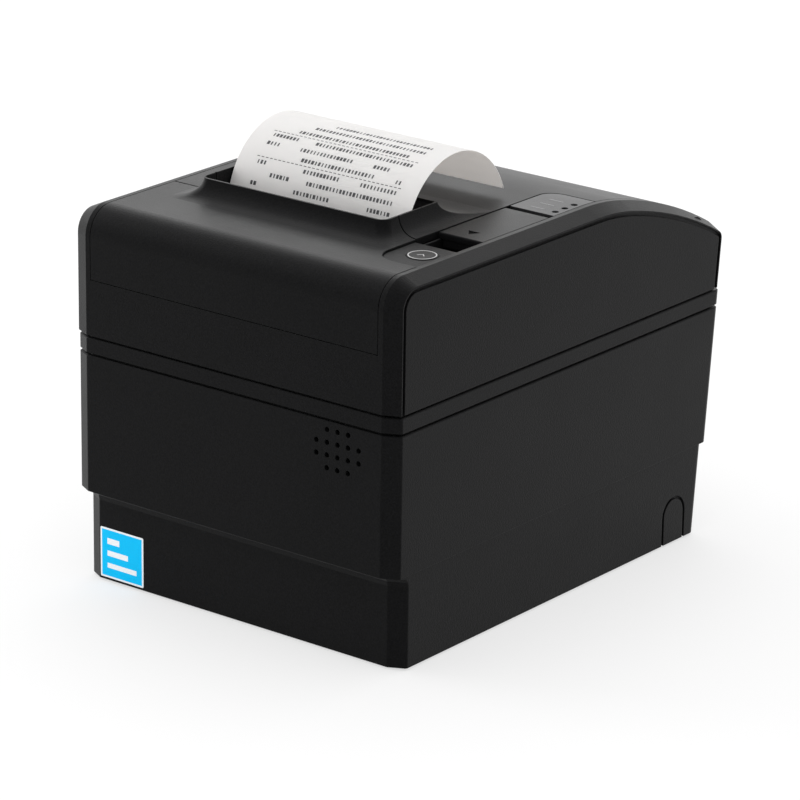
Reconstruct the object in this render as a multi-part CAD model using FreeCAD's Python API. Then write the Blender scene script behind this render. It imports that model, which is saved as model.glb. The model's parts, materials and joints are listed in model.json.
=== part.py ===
# Desktop receipt printer for 80 mm paper rolls, as an assembly of separate solids in millimetres.
# +Z is up, the front faces -Y, and the origin lies on the table below the middle of the casing.
# Lengths along Y are given as a distance behind the front face, and V() turns them into the frame.
import FreeCAD
import Part
import math
import os

# Casing
WIDTH = 145.0
DEPTH = 195.0
HALF = WIDTH / 2.0
TOP_Z = 140.7
WALL = 2.5
GAP = 0.3
FIT = 0.05
CORNER_FRONT = 6.1
CORNER_SIDE = 3.2
EDGE_ROUND = 1.2
REAR_TILT_DEG = 5.4

# Storeys of the casing, from the table up
FOOT_H = 0.8
BASE_FLOOR = 3.0
BASE_TOP_Z = 35.2
BASE_FRONT_STEP = 5.3
BASE_SIDE_STEP = 0.64
BASE_REAR_STEP = 2.0
BASE_COVE = 4.6
LOWER_TOP_Z = 86.6
BAND_Z = 87.6
BAND_TOP_Z = 93.1
SEAM_DEPTH = 1.4
SEAM_BEVEL = 0.35
UPPER_Z = 94.0
PANEL_SEAM_Z = 114.5

# Top surface seen from the side: front round, flat, two falling arcs and the rear round
FRONT_ROUND = 10.7
FLAT_END = DEPTH - 80.0
FALL_R1 = 101.0
FALL_DEG1 = 11.5
FALL_R2 = 203.0
REAR_ROUND = 6.0
RIM_INSET = 2.8
GROOVE_INSET = 3.3
GROOVE_WIDTH = 1.4
GROOVE_DEPTH = 1.0

# Paper path and exit collar
PAPER_X = -4.3
PAPER_W = 80.0
PAPER_T = 0.2
STRIP_F = 51.0
STRIP_R = 29.0
WEB_TOP_Z = 132.6
SLIP_LOW_Z = 134.6
STRIP_TURN_Z = 133.5
STRIP_END_DEG = 20.0
SLOT_HALF = PAPER_W / 2 + 0.6
SLOT_FRONT = 38.0
SLOT_REAR = 67.0
COLLAR_H = 6.9
COLLAR_WALL = 0.8
COLLAR_FLARE = 8.0
COLLAR_REAR_FLARE = 22.0

# Openings in the top
RIM_INNER_X = HALF - 8.1
LID_FRONT = 45.3
LID_RIGHT_X = PAPER_X + PAPER_W / 2 + 9.1
LID_STEP = 123.2
LID_CORNER = 7.0
LID_RIBS = (8.4 - RIM_INNER_X, PAPER_X - 1.0, LID_RIGHT_X - 8.8)
LID_RIB_T = 2.0

# Control column on the right of the lid
BUTTON_X = (LID_RIGHT_X + RIM_INNER_X) / 2 + 1.7
BUTTON_F = 34.0
BUTTON_R = (RIM_INNER_X - LID_RIGHT_X) / 2 - 4.3
BUTTON_TRAVEL = 1.2
BUTTON_SINK = 0.8
DECK_FRONT = 20.7
DECK_CORNER_R = 9.5
DECK_Z = 128.0
WELL_FRONT = 44.4
WELL_FLOOR_Z = 130.5
LEVER_FRONT = 57.4
LEVER_REAR = 96.0
LEVER_DIP = 1.8
LEVER_T = 2.2
LEVER_PIN_F = 92.0
LEVER_PIN_Z = 133.5
LEVER_PIN_R = 1.5
WINDOW_FRONT = 98.6
WINDOW_T = 1.5
WINDOW_LEDGE = 0.6
LED_X = RIM_INNER_X - 2.8
LED_F = 103.0
LED_PITCH = 5.6
LED_R = 1.25
CONTROL_BOARD_Z = 125.2
SWITCH_TOP_Z = 131.4
ARROW_X = (LID_RIGHT_X + RIM_INNER_X) / 2 - 0.1

# Paper roll and its bin
ROLL_R = 29.0
CORE_R = 8.0
CORE_BORE = 6.0
BIN_R = 42.5
BIN_F = STRIP_F + 74.0
BIN_Z = 90.0
BIN_HALF = PAPER_W / 2 + 1.5
BIN_T = 2.0
BIN_TOP_Z = 110.0
BIN_LIP_Z = 74.0
BIN_LEG_HALF = 30.0
BIN_LEG_T = 8.0
ROLL_Z = BIN_Z - BIN_R + ROLL_R + GAP + PAPER_T

# Print mechanism
PLATEN_R = 8.0
PLATEN_Z = 121.0
SHAFT_R = 2.5
BUSH_R = 4.0
FRAME_HALF = PAPER_W / 2 + 5.0
FRAME_T = 1.5
FRAME_FRONT = 24.0
FRAME_REAR = BIN_F - 41.0
FRAME_FLOOR_Z = 62.0
FRAME_TOP_Z = 134.0
FRAME_LEG = 8.0
REAR_LEG_SETBACK = 28.0
LEFT_PLATE_X = PAPER_X - FRAME_HALF - FRAME_T
RIGHT_PLATE_X = PAPER_X + FRAME_HALF
PLATEN_F = STRIP_F + PAPER_T / 2 + GAP / 2 + PLATEN_R
CHEEK_T = 1.8
CHEEK_IN = PAPER_W / 2 + 1.2
CHEEKS = (PAPER_X - CHEEK_IN - CHEEK_T, PAPER_X + CHEEK_IN)
HEAD_BACK = STRIP_F - PAPER_T / 2 - 0.2
HEAD_PIN_F = 46.0
HEAD_PIN_Z = 107.0
HEAD_PIN_R = 2.0
STUD_R = 2.0
GEAR_MODULE = 0.8
GEAR_W = 4.0
GEAR_X0 = LEFT_PLATE_X - 1.6 - GEAR_W
GEAR_X1 = GEAR_X0 + GEAR_W
PLATEN_TEETH = 24
IDLER_TEETH = 30
PINION_TEETH = 12
IDLER_DEG = -107.0
PINION_DEG = -118.0
BACKLASH = 0.16
MOTOR_R = 16.0
MOTOR_L = 22.0
BLADE_Z = 133.2
BLADE_T = 0.8
BLADE_FRONT = 35.0
BLADE_EDGE = 49.5
CUTTER_X = PAPER_X + PAPER_W / 2 - 15.7
CUTTER_F = 28.0
CUTTER_TEETH = 14
RACK_X = CUTTER_X + GEAR_MODULE * CUTTER_TEETH / 2.0
RACK_W = 3.0
RACK_T = 1.6

# Lid hinge
HINGE_F = DEPTH - 17.0
HINGE_R = 6.0
HINGE_PIN_R = 2.0
LID_REAR_GAP = 1.2

# Latch
HOOK_F = 80.0
HOOK_Z = 124.0
HOOK_PIN_R = 1.5
HOOK_T = 2.4
HOOK_X0 = RIGHT_PLATE_X + FRAME_T + 0.3
TAIL_X0 = HOOK_X0 + HOOK_T + 3.1
TAIL_X1 = TAIL_X0 + 3.0
TAIL_LOW_Z = 118.5
TAB_F = LEVER_PIN_F - 5.0
TAB_Z = TAIL_LOW_Z + 1.0

# Sounder grille in the front wall
GRILLE_X = HALF - 25.1
GRILLE_Z = 76.6
GRILLE_PITCH = 4.6
GRILLE_R = 1.0
GRILLE_ROWS = (3, 5, 5, 3)

# Rear cable bay and knock-outs
BAY_FRONT = DEPTH - 37.0
BAY_HALF = HALF - 12.5
ARCH_F = DEPTH - 27.0
ARCH_R = 7.2
ARCH_TOP_Z = 18.6
ARCH_GROOVE = 1.2

# Main board and its sockets: (x, width, height, width and height of the recess)
BOARD_Z = 9.0
BOARD_T = 1.6
BOARD_HALF = HALF - 10.5
BOARD_FRONT = 14.0
BOARD_CHIPS = [(-20, 60, 20, 20, 1.6), (14, 66, 12, 18, 1.4), (-46, 90, 14, 10, 2.4), (30, 100, 16, 12, 3.0)]
BOARD_CANS = [(-48.0, BAY_FRONT - 38.0), (-34.0, BAY_FRONT - 38.0)]
BOARD_POSTS = [(x, f) for f in (20.0, BAY_FRONT - 8.0) for x in (20.5 - HALF, HALF - 20.5)]
SOCKET_L = 16.0
SOCKET_DEPTH = 11.0
SOCKETS = {
    "power_socket": (30.5 - HALF, 15.0, 13.0, 10.0, 10.0),
    "drawer_socket": (-14.0, 15.0, 13.0, 10.0, 7.2),
    "usb_socket": (12.0, 12.0, 11.4, 8.6, 8.0),
    "network_socket": (HALF - 34.5, 16.4, 13.8, 12.0, 8.8),
}

# Screws, bosses and feet
SCREW_R = 1.5
SCREW_HEAD_R = 2.8
SCREW_HEAD_Z = 28.0
PILLAR_R = 4.6
SCREW_SPOTS = [(x, f) for f in (24.0, BAY_FRONT - 10.0) for x in (12.5 - HALF, HALF - 12.5)]
FOOT_SPOTS = [(x, f) for f in (15.0, BAY_FRONT + 8.0) for x in (22.5 - HALF, HALF - 22.5)]
FOOT_R = 7.0

# Floor of the lower case, with its opening for the wiring
FLOOR_Z = BASE_TOP_Z + WALL
BOSS_TOP_Z = FLOOR_Z + 8.0
INNER_INSET = WALL + 1.0
WIRE_HOLE_HALF = 44.0
WIRE_HOLE_FRONT = BIN_F - 65.0
WIRE_HOLE_REAR = BIN_F - 17.0

TILT = math.tan(math.radians(REAR_TILT_DEG))
X_AXIS = FreeCAD.Vector(1, 0, 0)
Y_AXIS = FreeCAD.Vector(0, 1, 0)
Z_AXIS = FreeCAD.Vector(0, 0, 1)

os.makedirs("parts", exist_ok=True)


def V(x, f, z):
    return FreeCAD.Vector(x, f - DEPTH / 2.0, z)


def box(x0, x1, f0, f1, z0, z1):
    return Part.makeBox(x1 - x0, f1 - f0, z1 - z0, V(x0, f0, z0))


def rod_x(x0, x1, f, z, radius):
    return Part.makeCylinder(radius, x1 - x0, V(x0, f, z), X_AXIS)


def rod_y(x, f0, f1, z, radius):
    return Part.makeCylinder(radius, f1 - f0, V(x, f0, z), Y_AXIS)


def rod_z(x, f, z0, z1, radius):
    return Part.makeCylinder(radius, z1 - z0, V(x, f, z0), Z_AXIS)


def joined(shapes):
    result = shapes[0]
    for shape in shapes[1:]:
        result = result.fuse(shape)
    return result.removeSplitter()


def save(name, shape):
    shape.exportStep("parts/" + name + ".step")


def rounded_wire(corners, place):
    """Closed wire through corners (u, v, radius), each corner rounded by a tangent arc."""
    arcs = []
    for index, (u, v, radius) in enumerate(corners):
        before = corners[index - 1]
        after = corners[(index + 1) % len(corners)]
        if radius == 0:
            arcs.append(((u, v), None, (u, v)))
            continue
        to_before = unit(before[0] - u, before[1] - v)
        to_after = unit(after[0] - u, after[1] - v)
        middle = unit(to_before[0] + to_after[0], to_before[1] + to_after[1])
        half = math.acos(middle[0] * to_before[0] + middle[1] * to_before[1])
        reach = radius / math.tan(half)
        centre = radius / math.sin(half)
        start = (u + to_before[0] * reach, v + to_before[1] * reach)
        end = (u + to_after[0] * reach, v + to_after[1] * reach)
        crown = (u + middle[0] * (centre - radius), v + middle[1] * (centre - radius))
        arcs.append((start, crown, end))
    edges = []
    for index, (start, crown, end) in enumerate(arcs):
        if crown:
            edges.append(Part.Arc(place(*start), place(*crown), place(*end)).toShape())
        following = arcs[(index + 1) % len(arcs)][0]
        if math.dist(end, following) > 1e-6:
            edges.append(Part.LineSegment(place(*end), place(*following)).toShape())
    return Part.Wire(edges)


def unit(u, v):
    size = math.hypot(u, v)
    return (u / size, v / size)


def slab_x(corners, x0, x1):
    """Prism along X whose section is given by corners (distance behind the front, z, radius)."""
    wire = rounded_wire(corners, lambda f, z: V(x0, f, z))
    return Part.Face(wire).extrude(X_AXIS * (x1 - x0))


def slab_z(corners, z0, z1):
    """Prism along Z whose plan is given by corners (x, distance behind the front, radius)."""
    wire = rounded_wire(corners, lambda x, f: V(x, f, z0))
    return Part.Face(wire).extrude(Z_AXIS * (z1 - z0))


def rear_f(z):
    """Rear face of the middle and upper casing at height z."""
    return DEPTH - TILT * (REAR_KNEE_Z - z)


def plan_wire(z, inset, front, side, rear):
    """Plan of the casing at height z: a rectangle with long chamfers at the front corners."""
    x = HALF - side - inset
    front_f = front + inset
    rear_edge = rear_f(z) - rear - inset
    corners = [
        (-x, rear_edge, CORNER_SIDE),
        (-x, front_f + CORNER_SIDE, EDGE_ROUND),
        (-x + CORNER_FRONT, front_f, EDGE_ROUND),
        (x - CORNER_FRONT, front_f, EDGE_ROUND),
        (x, front_f + CORNER_SIDE, EDGE_ROUND),
        (x, rear_edge, CORNER_SIDE),
    ]
    return rounded_wire(corners, lambda px, pf: V(px, pf, z))


def storey(sections, front=0.0, side=0.0, rear=0.0):
    """Solid through plans given as (height, inset)."""
    wires = [plan_wire(z, inset, front, side, rear) for z, inset in sections]
    return Part.makeLoft(wires, True, True)


def base_block():
    """Outside of the base: set back at the front, and coved out again under the casing above."""
    low_z = BASE_TOP_Z - BASE_COVE
    fronts = [(FOOT_H, BASE_FRONT_STEP), (low_z, BASE_FRONT_STEP)]
    for degrees in (25.0, 45.0, 65.0, 90.0):
        angle = math.radians(degrees)
        front = BASE_FRONT_STEP - BASE_COVE * (1 - math.cos(angle))
        fronts.append((low_z + BASE_COVE * math.sin(angle), front))
    wires = [plan_wire(z, 0.0, front, BASE_SIDE_STEP, BASE_REAR_STEP) for z, front in fronts]
    return Part.makeLoft(wires, True, True)


# Centres of the falling arcs of the top, and of the round where it meets the rear face
FALL_C1 = (FLAT_END, TOP_Z - FALL_R1)
FALL_A1 = math.radians(FALL_DEG1)
FALL_C2 = (
    FALL_C1[0] - (FALL_R2 - FALL_R1) * math.sin(FALL_A1),
    FALL_C1[1] - (FALL_R2 - FALL_R1) * math.cos(FALL_A1),
)


def fall_z(f, drop=0.0):
    """Height of the second falling arc at f, taken drop below the surface."""
    return FALL_C2[1] + math.sqrt((FALL_R2 - drop) ** 2 - (f - FALL_C2[0]) ** 2)


REAR_NORMAL = (math.cos(math.radians(REAR_TILT_DEG)), -math.sin(math.radians(REAR_TILT_DEG)))
REAR_C = (DEPTH - REAR_ROUND, fall_z(DEPTH - REAR_ROUND, REAR_ROUND))
REAR_KNEE_Z = REAR_C[1] + REAR_ROUND * (1 / REAR_NORMAL[0] - 1) / TILT
HINGE_Z = fall_z(HINGE_F, HINGE_R)
LID_OPENING_REAR = HINGE_F + HINGE_R + LID_REAR_GAP


def top_profile(x, inset, low_z):
    """Side outline of the upper casing at x, drawn in by inset all round but cut level at low_z."""
    def at(centre, radius, degrees):
        angle = math.radians(degrees)
        return V(x, centre[0] + radius * math.cos(angle), centre[1] + radius * math.sin(angle))

    front_c = (FRONT_ROUND, TOP_Z - FRONT_ROUND)
    front_r = FRONT_ROUND - inset
    rear_r = REAR_ROUND - inset
    turn_deg = math.degrees(math.atan2(REAR_C[1] - FALL_C2[1], REAR_C[0] - FALL_C2[0]))
    first_deg = 90.0 - FALL_DEG1
    rear_low = rear_f(low_z) - inset / REAR_NORMAL[0]
    front_top = at(front_c, front_r, 90.0)
    fall_start = at(FALL_C1, FALL_R1 - inset, 90.0)
    fall_turn = at(FALL_C1, FALL_R1 - inset, first_deg)
    fall_end = at(FALL_C2, FALL_R2 - inset, turn_deg)
    rear_end = at(REAR_C, rear_r, -REAR_TILT_DEG)
    edges = [
        Part.LineSegment(V(x, inset, low_z), at(front_c, front_r, 180.0)).toShape(),
        Part.Arc(at(front_c, front_r, 180.0), at(front_c, front_r, 135.0), front_top).toShape(),
        Part.LineSegment(front_top, fall_start).toShape(),
        Part.Arc(fall_start, at(FALL_C1, FALL_R1 - inset, (90.0 + first_deg) / 2), fall_turn).toShape(),
        Part.Arc(fall_turn, at(FALL_C2, FALL_R2 - inset, (first_deg + turn_deg) / 2), fall_end).toShape(),
        Part.Arc(fall_end, at(REAR_C, rear_r, (turn_deg - REAR_TILT_DEG) / 2), rear_end).toShape(),
        Part.LineSegment(rear_end, V(x, rear_low, low_z)).toShape(),
        Part.LineSegment(V(x, rear_low, low_z), V(x, inset, low_z)).toShape(),
    ]
    return Part.Wire(edges)


def top_solid(x0, x1, inset, low_z):
    """Upper casing's side outline, drawn in by inset, as a prism from x0 to x1."""
    return Part.Face(top_profile(x0, inset, low_z)).extrude(X_AXIS * (x1 - x0))


def top_skin(x0, x1, thickness, low_z):
    return top_solid(x0, x1, 0.0, low_z).cut(top_solid(x0 - 1, x1 + 1, thickness, low_z - 1))


def make_base_tray():
    floor_z = FOOT_H + BASE_FLOOR
    steps = (BASE_FRONT_STEP, BASE_SIDE_STEP, BASE_REAR_STEP)
    tray = base_block()
    tray = tray.cut(storey([(floor_z, WALL), (BASE_TOP_Z + 1, WALL)], *steps))
    tray = tray.cut(box(-BAY_HALF, BAY_HALF, BAY_FRONT, DEPTH, floor_z, BASE_TOP_Z - WALL))
    for side in (-1, 1):
        tray = tray.cut(arch_groove(side))
    for x, f in SCREW_SPOTS:
        pillar = rod_z(x, f, floor_z, BASE_TOP_Z, PILLAR_R)
        tray = tray.fuse(pillar)
        tray = tray.cut(rod_z(x, f, FOOT_H - 1, SCREW_HEAD_Z, SCREW_HEAD_R + GAP))
        tray = tray.cut(rod_z(x, f, SCREW_HEAD_Z - 1, BASE_TOP_Z + 1, SCREW_R + FIT))
    for x, f in BOARD_POSTS:
        tray = tray.fuse(rod_z(x, f, floor_z, BOARD_Z, 3.0))
    return tray.removeSplitter()


def arch_groove(side):
    """Outline of the cable knock-out, cut into a side wall near the rear."""
    def arch(radius):
        straight_z = ARCH_TOP_Z - ARCH_R
        low = box(0, GROOVE_DEPTH + 1, ARCH_F - radius, ARCH_F + radius, -1, straight_z)
        return low.fuse(rod_x(0, GROOVE_DEPTH + 1, ARCH_F, straight_z, radius))

    groove = arch(ARCH_R).cut(arch(ARCH_R - ARCH_GROOVE))
    outer_x = HALF - BASE_SIDE_STEP
    start = outer_x - GROOVE_DEPTH if side > 0 else -outer_x - 1
    groove.translate(FreeCAD.Vector(start, 0, 0))
    return groove


def make_lower_case():
    outer = storey([(BASE_TOP_Z, 0.0), (LOWER_TOP_Z - SEAM_BEVEL, 0.0), (LOWER_TOP_Z, SEAM_BEVEL)])
    band = storey([(BAND_Z, 0.0), (BAND_TOP_Z - SEAM_BEVEL, 0.0), (BAND_TOP_Z, SEAM_BEVEL)])
    core = storey([(BASE_TOP_Z, SEAM_DEPTH), (UPPER_Z, SEAM_DEPTH)])
    case = outer.fuse(band).fuse(core)
    case = case.cut(storey([(FLOOR_Z, INNER_INSET), (UPPER_Z + 1, INNER_INSET)]))
    hole = box(-WIRE_HOLE_HALF, WIRE_HOLE_HALF, WIRE_HOLE_FRONT, WIRE_HOLE_REAR, BASE_TOP_Z - 1, FLOOR_Z + 1)
    case = case.cut(hole)
    for x, f in SCREW_SPOTS:
        case = case.fuse(rod_z(x, f, FLOOR_Z - 1, BOSS_TOP_Z, PILLAR_R))
        case = case.cut(rod_z(x, f, BASE_TOP_Z - 1, BOSS_TOP_Z - 2, SCREW_R + FIT))
    for x, z in grille_spots():
        case = case.cut(rod_y(x, -1, INNER_INSET + 1, z, GRILLE_R))
    return case.removeSplitter()


def grille_spots():
    for row, count in enumerate(GRILLE_ROWS):
        z = GRILLE_Z + GRILLE_PITCH * ((len(GRILLE_ROWS) - 1) / 2.0 - row)
        for column in range(count):
            yield GRILLE_X + GRILLE_PITCH * (column - (count - 1) / 2.0), z


def make_upper_case():
    flat = HALF - CORNER_FRONT
    sections = [(HALF, RIM_INSET), (flat, 0.0), (-flat, 0.0), (-HALF, RIM_INSET)]
    body = Part.makeLoft([top_profile(x, inset, UPPER_Z) for x, inset in sections], True, True)
    body = body.cut(top_solid(-HALF + WALL, HALF - WALL, WALL + 0.5, UPPER_Z - 1))
    for side in (-1, 1):
        start = HALF - GROOVE_DEPTH if side > 0 else -HALF - 1
        end = start + GROOVE_DEPTH + 1
        band = top_solid(start, end, GROOVE_INSET, UPPER_Z - 1)
        inner = top_solid(start - 1, end + 1, GROOVE_INSET + GROOVE_WIDTH, UPPER_Z - 2)
        body = body.cut(band.cut(inner))
    body = body.cut(box(-RIM_INNER_X, RIM_INNER_X, -1, LID_OPENING_REAR, PANEL_SEAM_Z, TOP_Z + 1))
    for side in (-1, 1):
        near = RIM_INNER_X + GAP
        far = HALF - WALL
        x0, x1 = (near, far) if side > 0 else (-far, -near)
        boss = rod_x(x0, x1, HINGE_F, HINGE_Z, HINGE_R - 1)
        body = body.fuse(boss).cut(rod_x(x0, x1, HINGE_F, HINGE_Z, HINGE_PIN_R + FIT))
    return body.removeSplitter()


def collar():
    """Raised collar round the paper exit, with a concave flare on every side."""
    steps = [(-1.0, 1.0), (0.0, 1.0), (0.45, 0.66), (1.5, 0.37), (3.6, 0.13), (COLLAR_H, 0.0)]
    wires = []
    for height, share in steps:
        x = SLOT_HALF + COLLAR_WALL + COLLAR_FLARE * share
        front = SLOT_FRONT - COLLAR_WALL - COLLAR_FLARE * share
        rear = SLOT_REAR + COLLAR_WALL + COLLAR_REAR_FLARE * share
        corners = [
            (PAPER_X - x, rear, 1.0),
            (PAPER_X - x, front, 4.0),
            (PAPER_X + x, front, 4.0),
            (PAPER_X + x, rear, 1.0),
        ]
        wires.append(rounded_wire(corners, lambda px, pf: V(px, pf, TOP_Z + height)))
    return Part.makeLoft(wires[1:], True, False).fuse(Part.makeLoft(wires[:2], True, True))


def exit_slot():
    corners = [
        (PAPER_X - SLOT_HALF, SLOT_REAR, 1.0),
        (PAPER_X - SLOT_HALF, SLOT_FRONT, 2.5),
        (PAPER_X + SLOT_HALF, SLOT_FRONT, 2.5),
        (PAPER_X + SLOT_HALF, SLOT_REAR, 1.0),
    ]
    return slab_z(corners, TOP_Z - 2 * WALL, TOP_Z + COLLAR_H + 1)


def guide_plate(top_f, top_z, low_f, low_z, side):
    """Sloping wall that leads the paper from the cutter up to the mouth of the exit."""
    back = side * 1.2
    corners = [(top_f, top_z, 0), (low_f, low_z, 0), (low_f + back, low_z, 0), (top_f + back, top_z, 0)]
    return slab_x(corners, PAPER_X - SLOT_HALF - 0.4, PAPER_X + SLOT_HALF + 0.4)


def make_front_cover():
    half = RIM_INNER_X - GAP
    cover = top_skin(-half, half, WALL, UPPER_Z + 1)
    cover = cover.common(box(-half, half, -1, LID_FRONT - GAP, PANEL_SEAM_Z + GAP, TOP_Z + 1))
    ring = collar().common(box(-half, half, -1, LID_FRONT - GAP, TOP_Z - 2, TOP_Z + COLLAR_H + 1))
    cover = cover.fuse(ring).cut(exit_slot())
    guide = guide_plate(SLOT_FRONT, TOP_Z + 1, BLADE_EDGE - 1, BLADE_Z + 2.6, -1)
    cover = cover.fuse(guide.cut(box(LID_RIGHT_X - 5, HALF, 0, DEPTH, 0, TOP_Z)))
    notch = [
        (LID_RIGHT_X, DECK_FRONT - GAP, DECK_CORNER_R),
        (HALF, DECK_FRONT - GAP, 0),
        (HALF, DEPTH, 0),
        (LID_RIGHT_X, DEPTH, 0),
    ]
    return cover.cut(slab_z(notch, DECK_Z - 1, TOP_Z + COLLAR_H + 1)).removeSplitter()


def lid_plan(gap):
    """Plan of the lid, which steps round the control column and then runs to the right-hand rim."""
    half = RIM_INNER_X - gap
    return [
        (-half, LID_FRONT + gap, 0),
        (LID_RIGHT_X - gap, LID_FRONT + gap, 0),
        (LID_RIGHT_X - gap, LID_STEP + gap, LID_CORNER),
        (half, LID_STEP + gap, 0),
        (half, DEPTH, 0),
        (-half, DEPTH, 0),
    ]


def make_lid():
    half = RIM_INNER_X - GAP
    plan = slab_z(lid_plan(GAP), UPPER_Z, TOP_Z + COLLAR_H + 1)
    skin = top_skin(-half, half, WALL, UPPER_Z + 1)
    skin = skin.fuse(collar()).common(plan)
    behind_hinge = box(-HALF, HALF, HINGE_F, DEPTH + 1, 0, TOP_Z + 20)
    skin = skin.cut(behind_hinge)
    tail = top_skin(-half, half, WALL, UPPER_Z + 1).common(
        rod_x(-half, half, HINGE_F, HINGE_Z, HINGE_R))
    barrel = rod_x(-half, half, HINGE_F, HINGE_Z, HINGE_R)
    lid = skin.fuse(tail).fuse(barrel).cut(exit_slot())
    guide = guide_plate(SLOT_REAR, TOP_Z + COLLAR_H - 1, STRIP_F + 2.4, BLADE_Z + 2.4, 1)
    lid = lid.fuse(guide)
    for x in LID_RIBS:
        x1 = x + LID_RIB_T
        rib = top_solid(x, x1, WALL - 0.5, UPPER_Z).cut(top_solid(x - 1, x1 + 1, WALL + 4, UPPER_Z - 1))
        lid = lid.fuse(rib.common(box(x - 1, x1 + 1, SLOT_REAR + 8, HINGE_F, UPPER_Z + 10, TOP_Z)))
    for x0 in CHEEKS:
        cheek = slab_x([
            (PLATEN_F - 6.5, TOP_Z - 1, 0),
            (PLATEN_F - 6.5, PLATEN_Z - 6.5, 5.0),
            (PLATEN_F + 6.5, PLATEN_Z - 6.5, 5.0),
            (SLOT_REAR + 8, TOP_Z - 1, 0),
        ], x0, x0 + CHEEK_T)
        lid = lid.fuse(cheek)
        lid = lid.cut(rod_x(x0 - 1, x0 + CHEEK_T + 1, PLATEN_F, PLATEN_Z, BUSH_R))
    for side in (-1, 1):
        x0, x1 = (half - 12, half + 1) if side > 0 else (-half - 1, -half + 12)
        lid = lid.cut(rod_x(x0, x1, HINGE_F, HINGE_Z, HINGE_PIN_R + FIT))
    return lid.removeSplitter()


def make_hinge_pins():
    pins = []
    for side in (-1, 1):
        x0, x1 = (RIM_INNER_X - 11, HALF - WALL) if side > 0 else (-HALF + WALL, -RIM_INNER_X + 11)
        pins.append(rod_x(x0, x1, HINGE_F, HINGE_Z, HINGE_PIN_R))
    return Part.makeCompound(pins)


def make_control_deck():
    x0 = LID_RIGHT_X + GAP
    x1 = RIM_INNER_X - GAP
    plan = [
        (x0, DECK_FRONT, DECK_CORNER_R - GAP),
        (x1, DECK_FRONT, 0),
        (x1, LID_STEP - GAP, 0),
        (x0, LID_STEP - GAP, LID_CORNER - GAP),
    ]
    seat = top_solid(x0, x1, WINDOW_T, UPPER_Z).common(slab_z(plan, DECK_Z, TOP_Z))
    plate = slab_z(plan, TOP_Z - BUTTON_SINK - 3, TOP_Z - BUTTON_SINK)
    plate = plate.common(box(x0, x1, DECK_FRONT, WELL_FRONT, DECK_Z, TOP_Z))
    deck = seat.fuse(plate)
    wall = 1.0
    pocket_rear = WINDOW_FRONT - WINDOW_LEDGE
    lever_z = TOP_Z - LEVER_T
    deck = deck.cut(box(x0 + wall, x1 - wall, WELL_FRONT, pocket_rear, WELL_FLOOR_Z, TOP_Z))
    deck = deck.cut(box(x0 - 1, x1 + 1, WELL_FRONT, pocket_rear, lever_z - GAP, TOP_Z))
    deck = deck.cut(box(x0 - 1, x1 + 1, LEVER_PIN_F, pocket_rear, lever_z - LEVER_DIP, TOP_Z))
    deck = deck.cut(box(x0 + wall, x1 - wall, DECK_FRONT + 6.5, WELL_FRONT - wall, DECK_Z - 1,
                        TOP_Z - BUTTON_SINK - WALL))
    deck = deck.cut(rod_z(BUTTON_X, BUTTON_F, DECK_Z, TOP_Z, BUTTON_R + 0.15))
    tail_x0 = TAIL_X0 - GAP
    tail_x1 = TAIL_X1 + GAP
    deck = deck.cut(box(tail_x0, tail_x1, LEVER_PIN_F - 8, LEVER_PIN_F + 4, DECK_Z - 1, WELL_FLOOR_Z + 1))
    deck = deck.cut(rod_x(x0 - 1, x1 + 1, LEVER_PIN_F, LEVER_PIN_Z, LEVER_PIN_R + FIT))
    for f in led_spots():
        deck = deck.cut(rod_z(LED_X, f, DECK_Z - 1, TOP_Z, LED_R))
    return deck.removeSplitter()


def led_spots():
    return [LED_F + LED_PITCH * index for index in range(3)]


def make_led_window():
    x0 = LID_RIGHT_X + GAP
    x1 = RIM_INNER_X - GAP
    plan = [
        (x0, WINDOW_FRONT, 0.6),
        (x1, WINDOW_FRONT, 0),
        (x1, LID_STEP - GAP, 0),
        (x0, LID_STEP - GAP, LID_CORNER - GAP),
    ]
    window = top_skin(x0, x1, WINDOW_T, UPPER_Z).common(slab_z(plan, DECK_Z, TOP_Z + 1))
    for f in led_spots():
        window = window.cut(rod_z(LED_X, f, DECK_Z, TOP_Z + 1, LED_R))
    return window


def make_light_pipes():
    pipes = [rod_z(LED_X, f, DECK_Z - 1.4, TOP_Z - 0.4, LED_R - FIT) for f in led_spots()]
    return Part.makeCompound(pipes)


def make_feed_button():
    top = TOP_Z - BUTTON_SINK + 0.3
    cap = rod_z(BUTTON_X, BUTTON_F, top - 3.4, top, BUTTON_R)
    rim = [e for e in cap.Edges if abs(e.BoundBox.ZMin - top) < 1e-3 and e.BoundBox.ZLength < 1e-3]
    cap = cap.makeFillet(0.4, rim)
    flange = rod_z(BUTTON_X, BUTTON_F, top - 4.6, top - 3.2, BUTTON_R + 1.0)
    stem = rod_z(BUTTON_X, BUTTON_F, SWITCH_TOP_Z + BUTTON_TRAVEL + 0.1, top - 4, 1.5)
    return joined([cap, flange, stem])


def make_control_board():
    x0 = LID_RIGHT_X + GAP + 1.2
    x1 = RIM_INNER_X - GAP - 1.2
    board = box(x0, x1, DECK_FRONT + 1, WINDOW_FRONT + 20, CONTROL_BOARD_Z, CONTROL_BOARD_Z + 1.4)
    tail_x0 = TAIL_X0 - 1.5
    tail_x1 = TAIL_X1 + 1.5
    board = board.cut(box(tail_x0, tail_x1, LEVER_PIN_F - 10, LEVER_PIN_F + 6, DECK_Z - 9, DECK_Z))
    switch = box(BUTTON_X - 3, BUTTON_X + 3, BUTTON_F - 3, BUTTON_F + 3, CONTROL_BOARD_Z + 1, SWITCH_TOP_Z)
    places = (DECK_FRONT + 4, WINDOW_FRONT + 8)
    stands = [rod_z(x0 + 2, f, CONTROL_BOARD_Z + 1, DECK_Z, 1.5) for f in places]
    return joined([board, switch] + stands)


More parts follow.
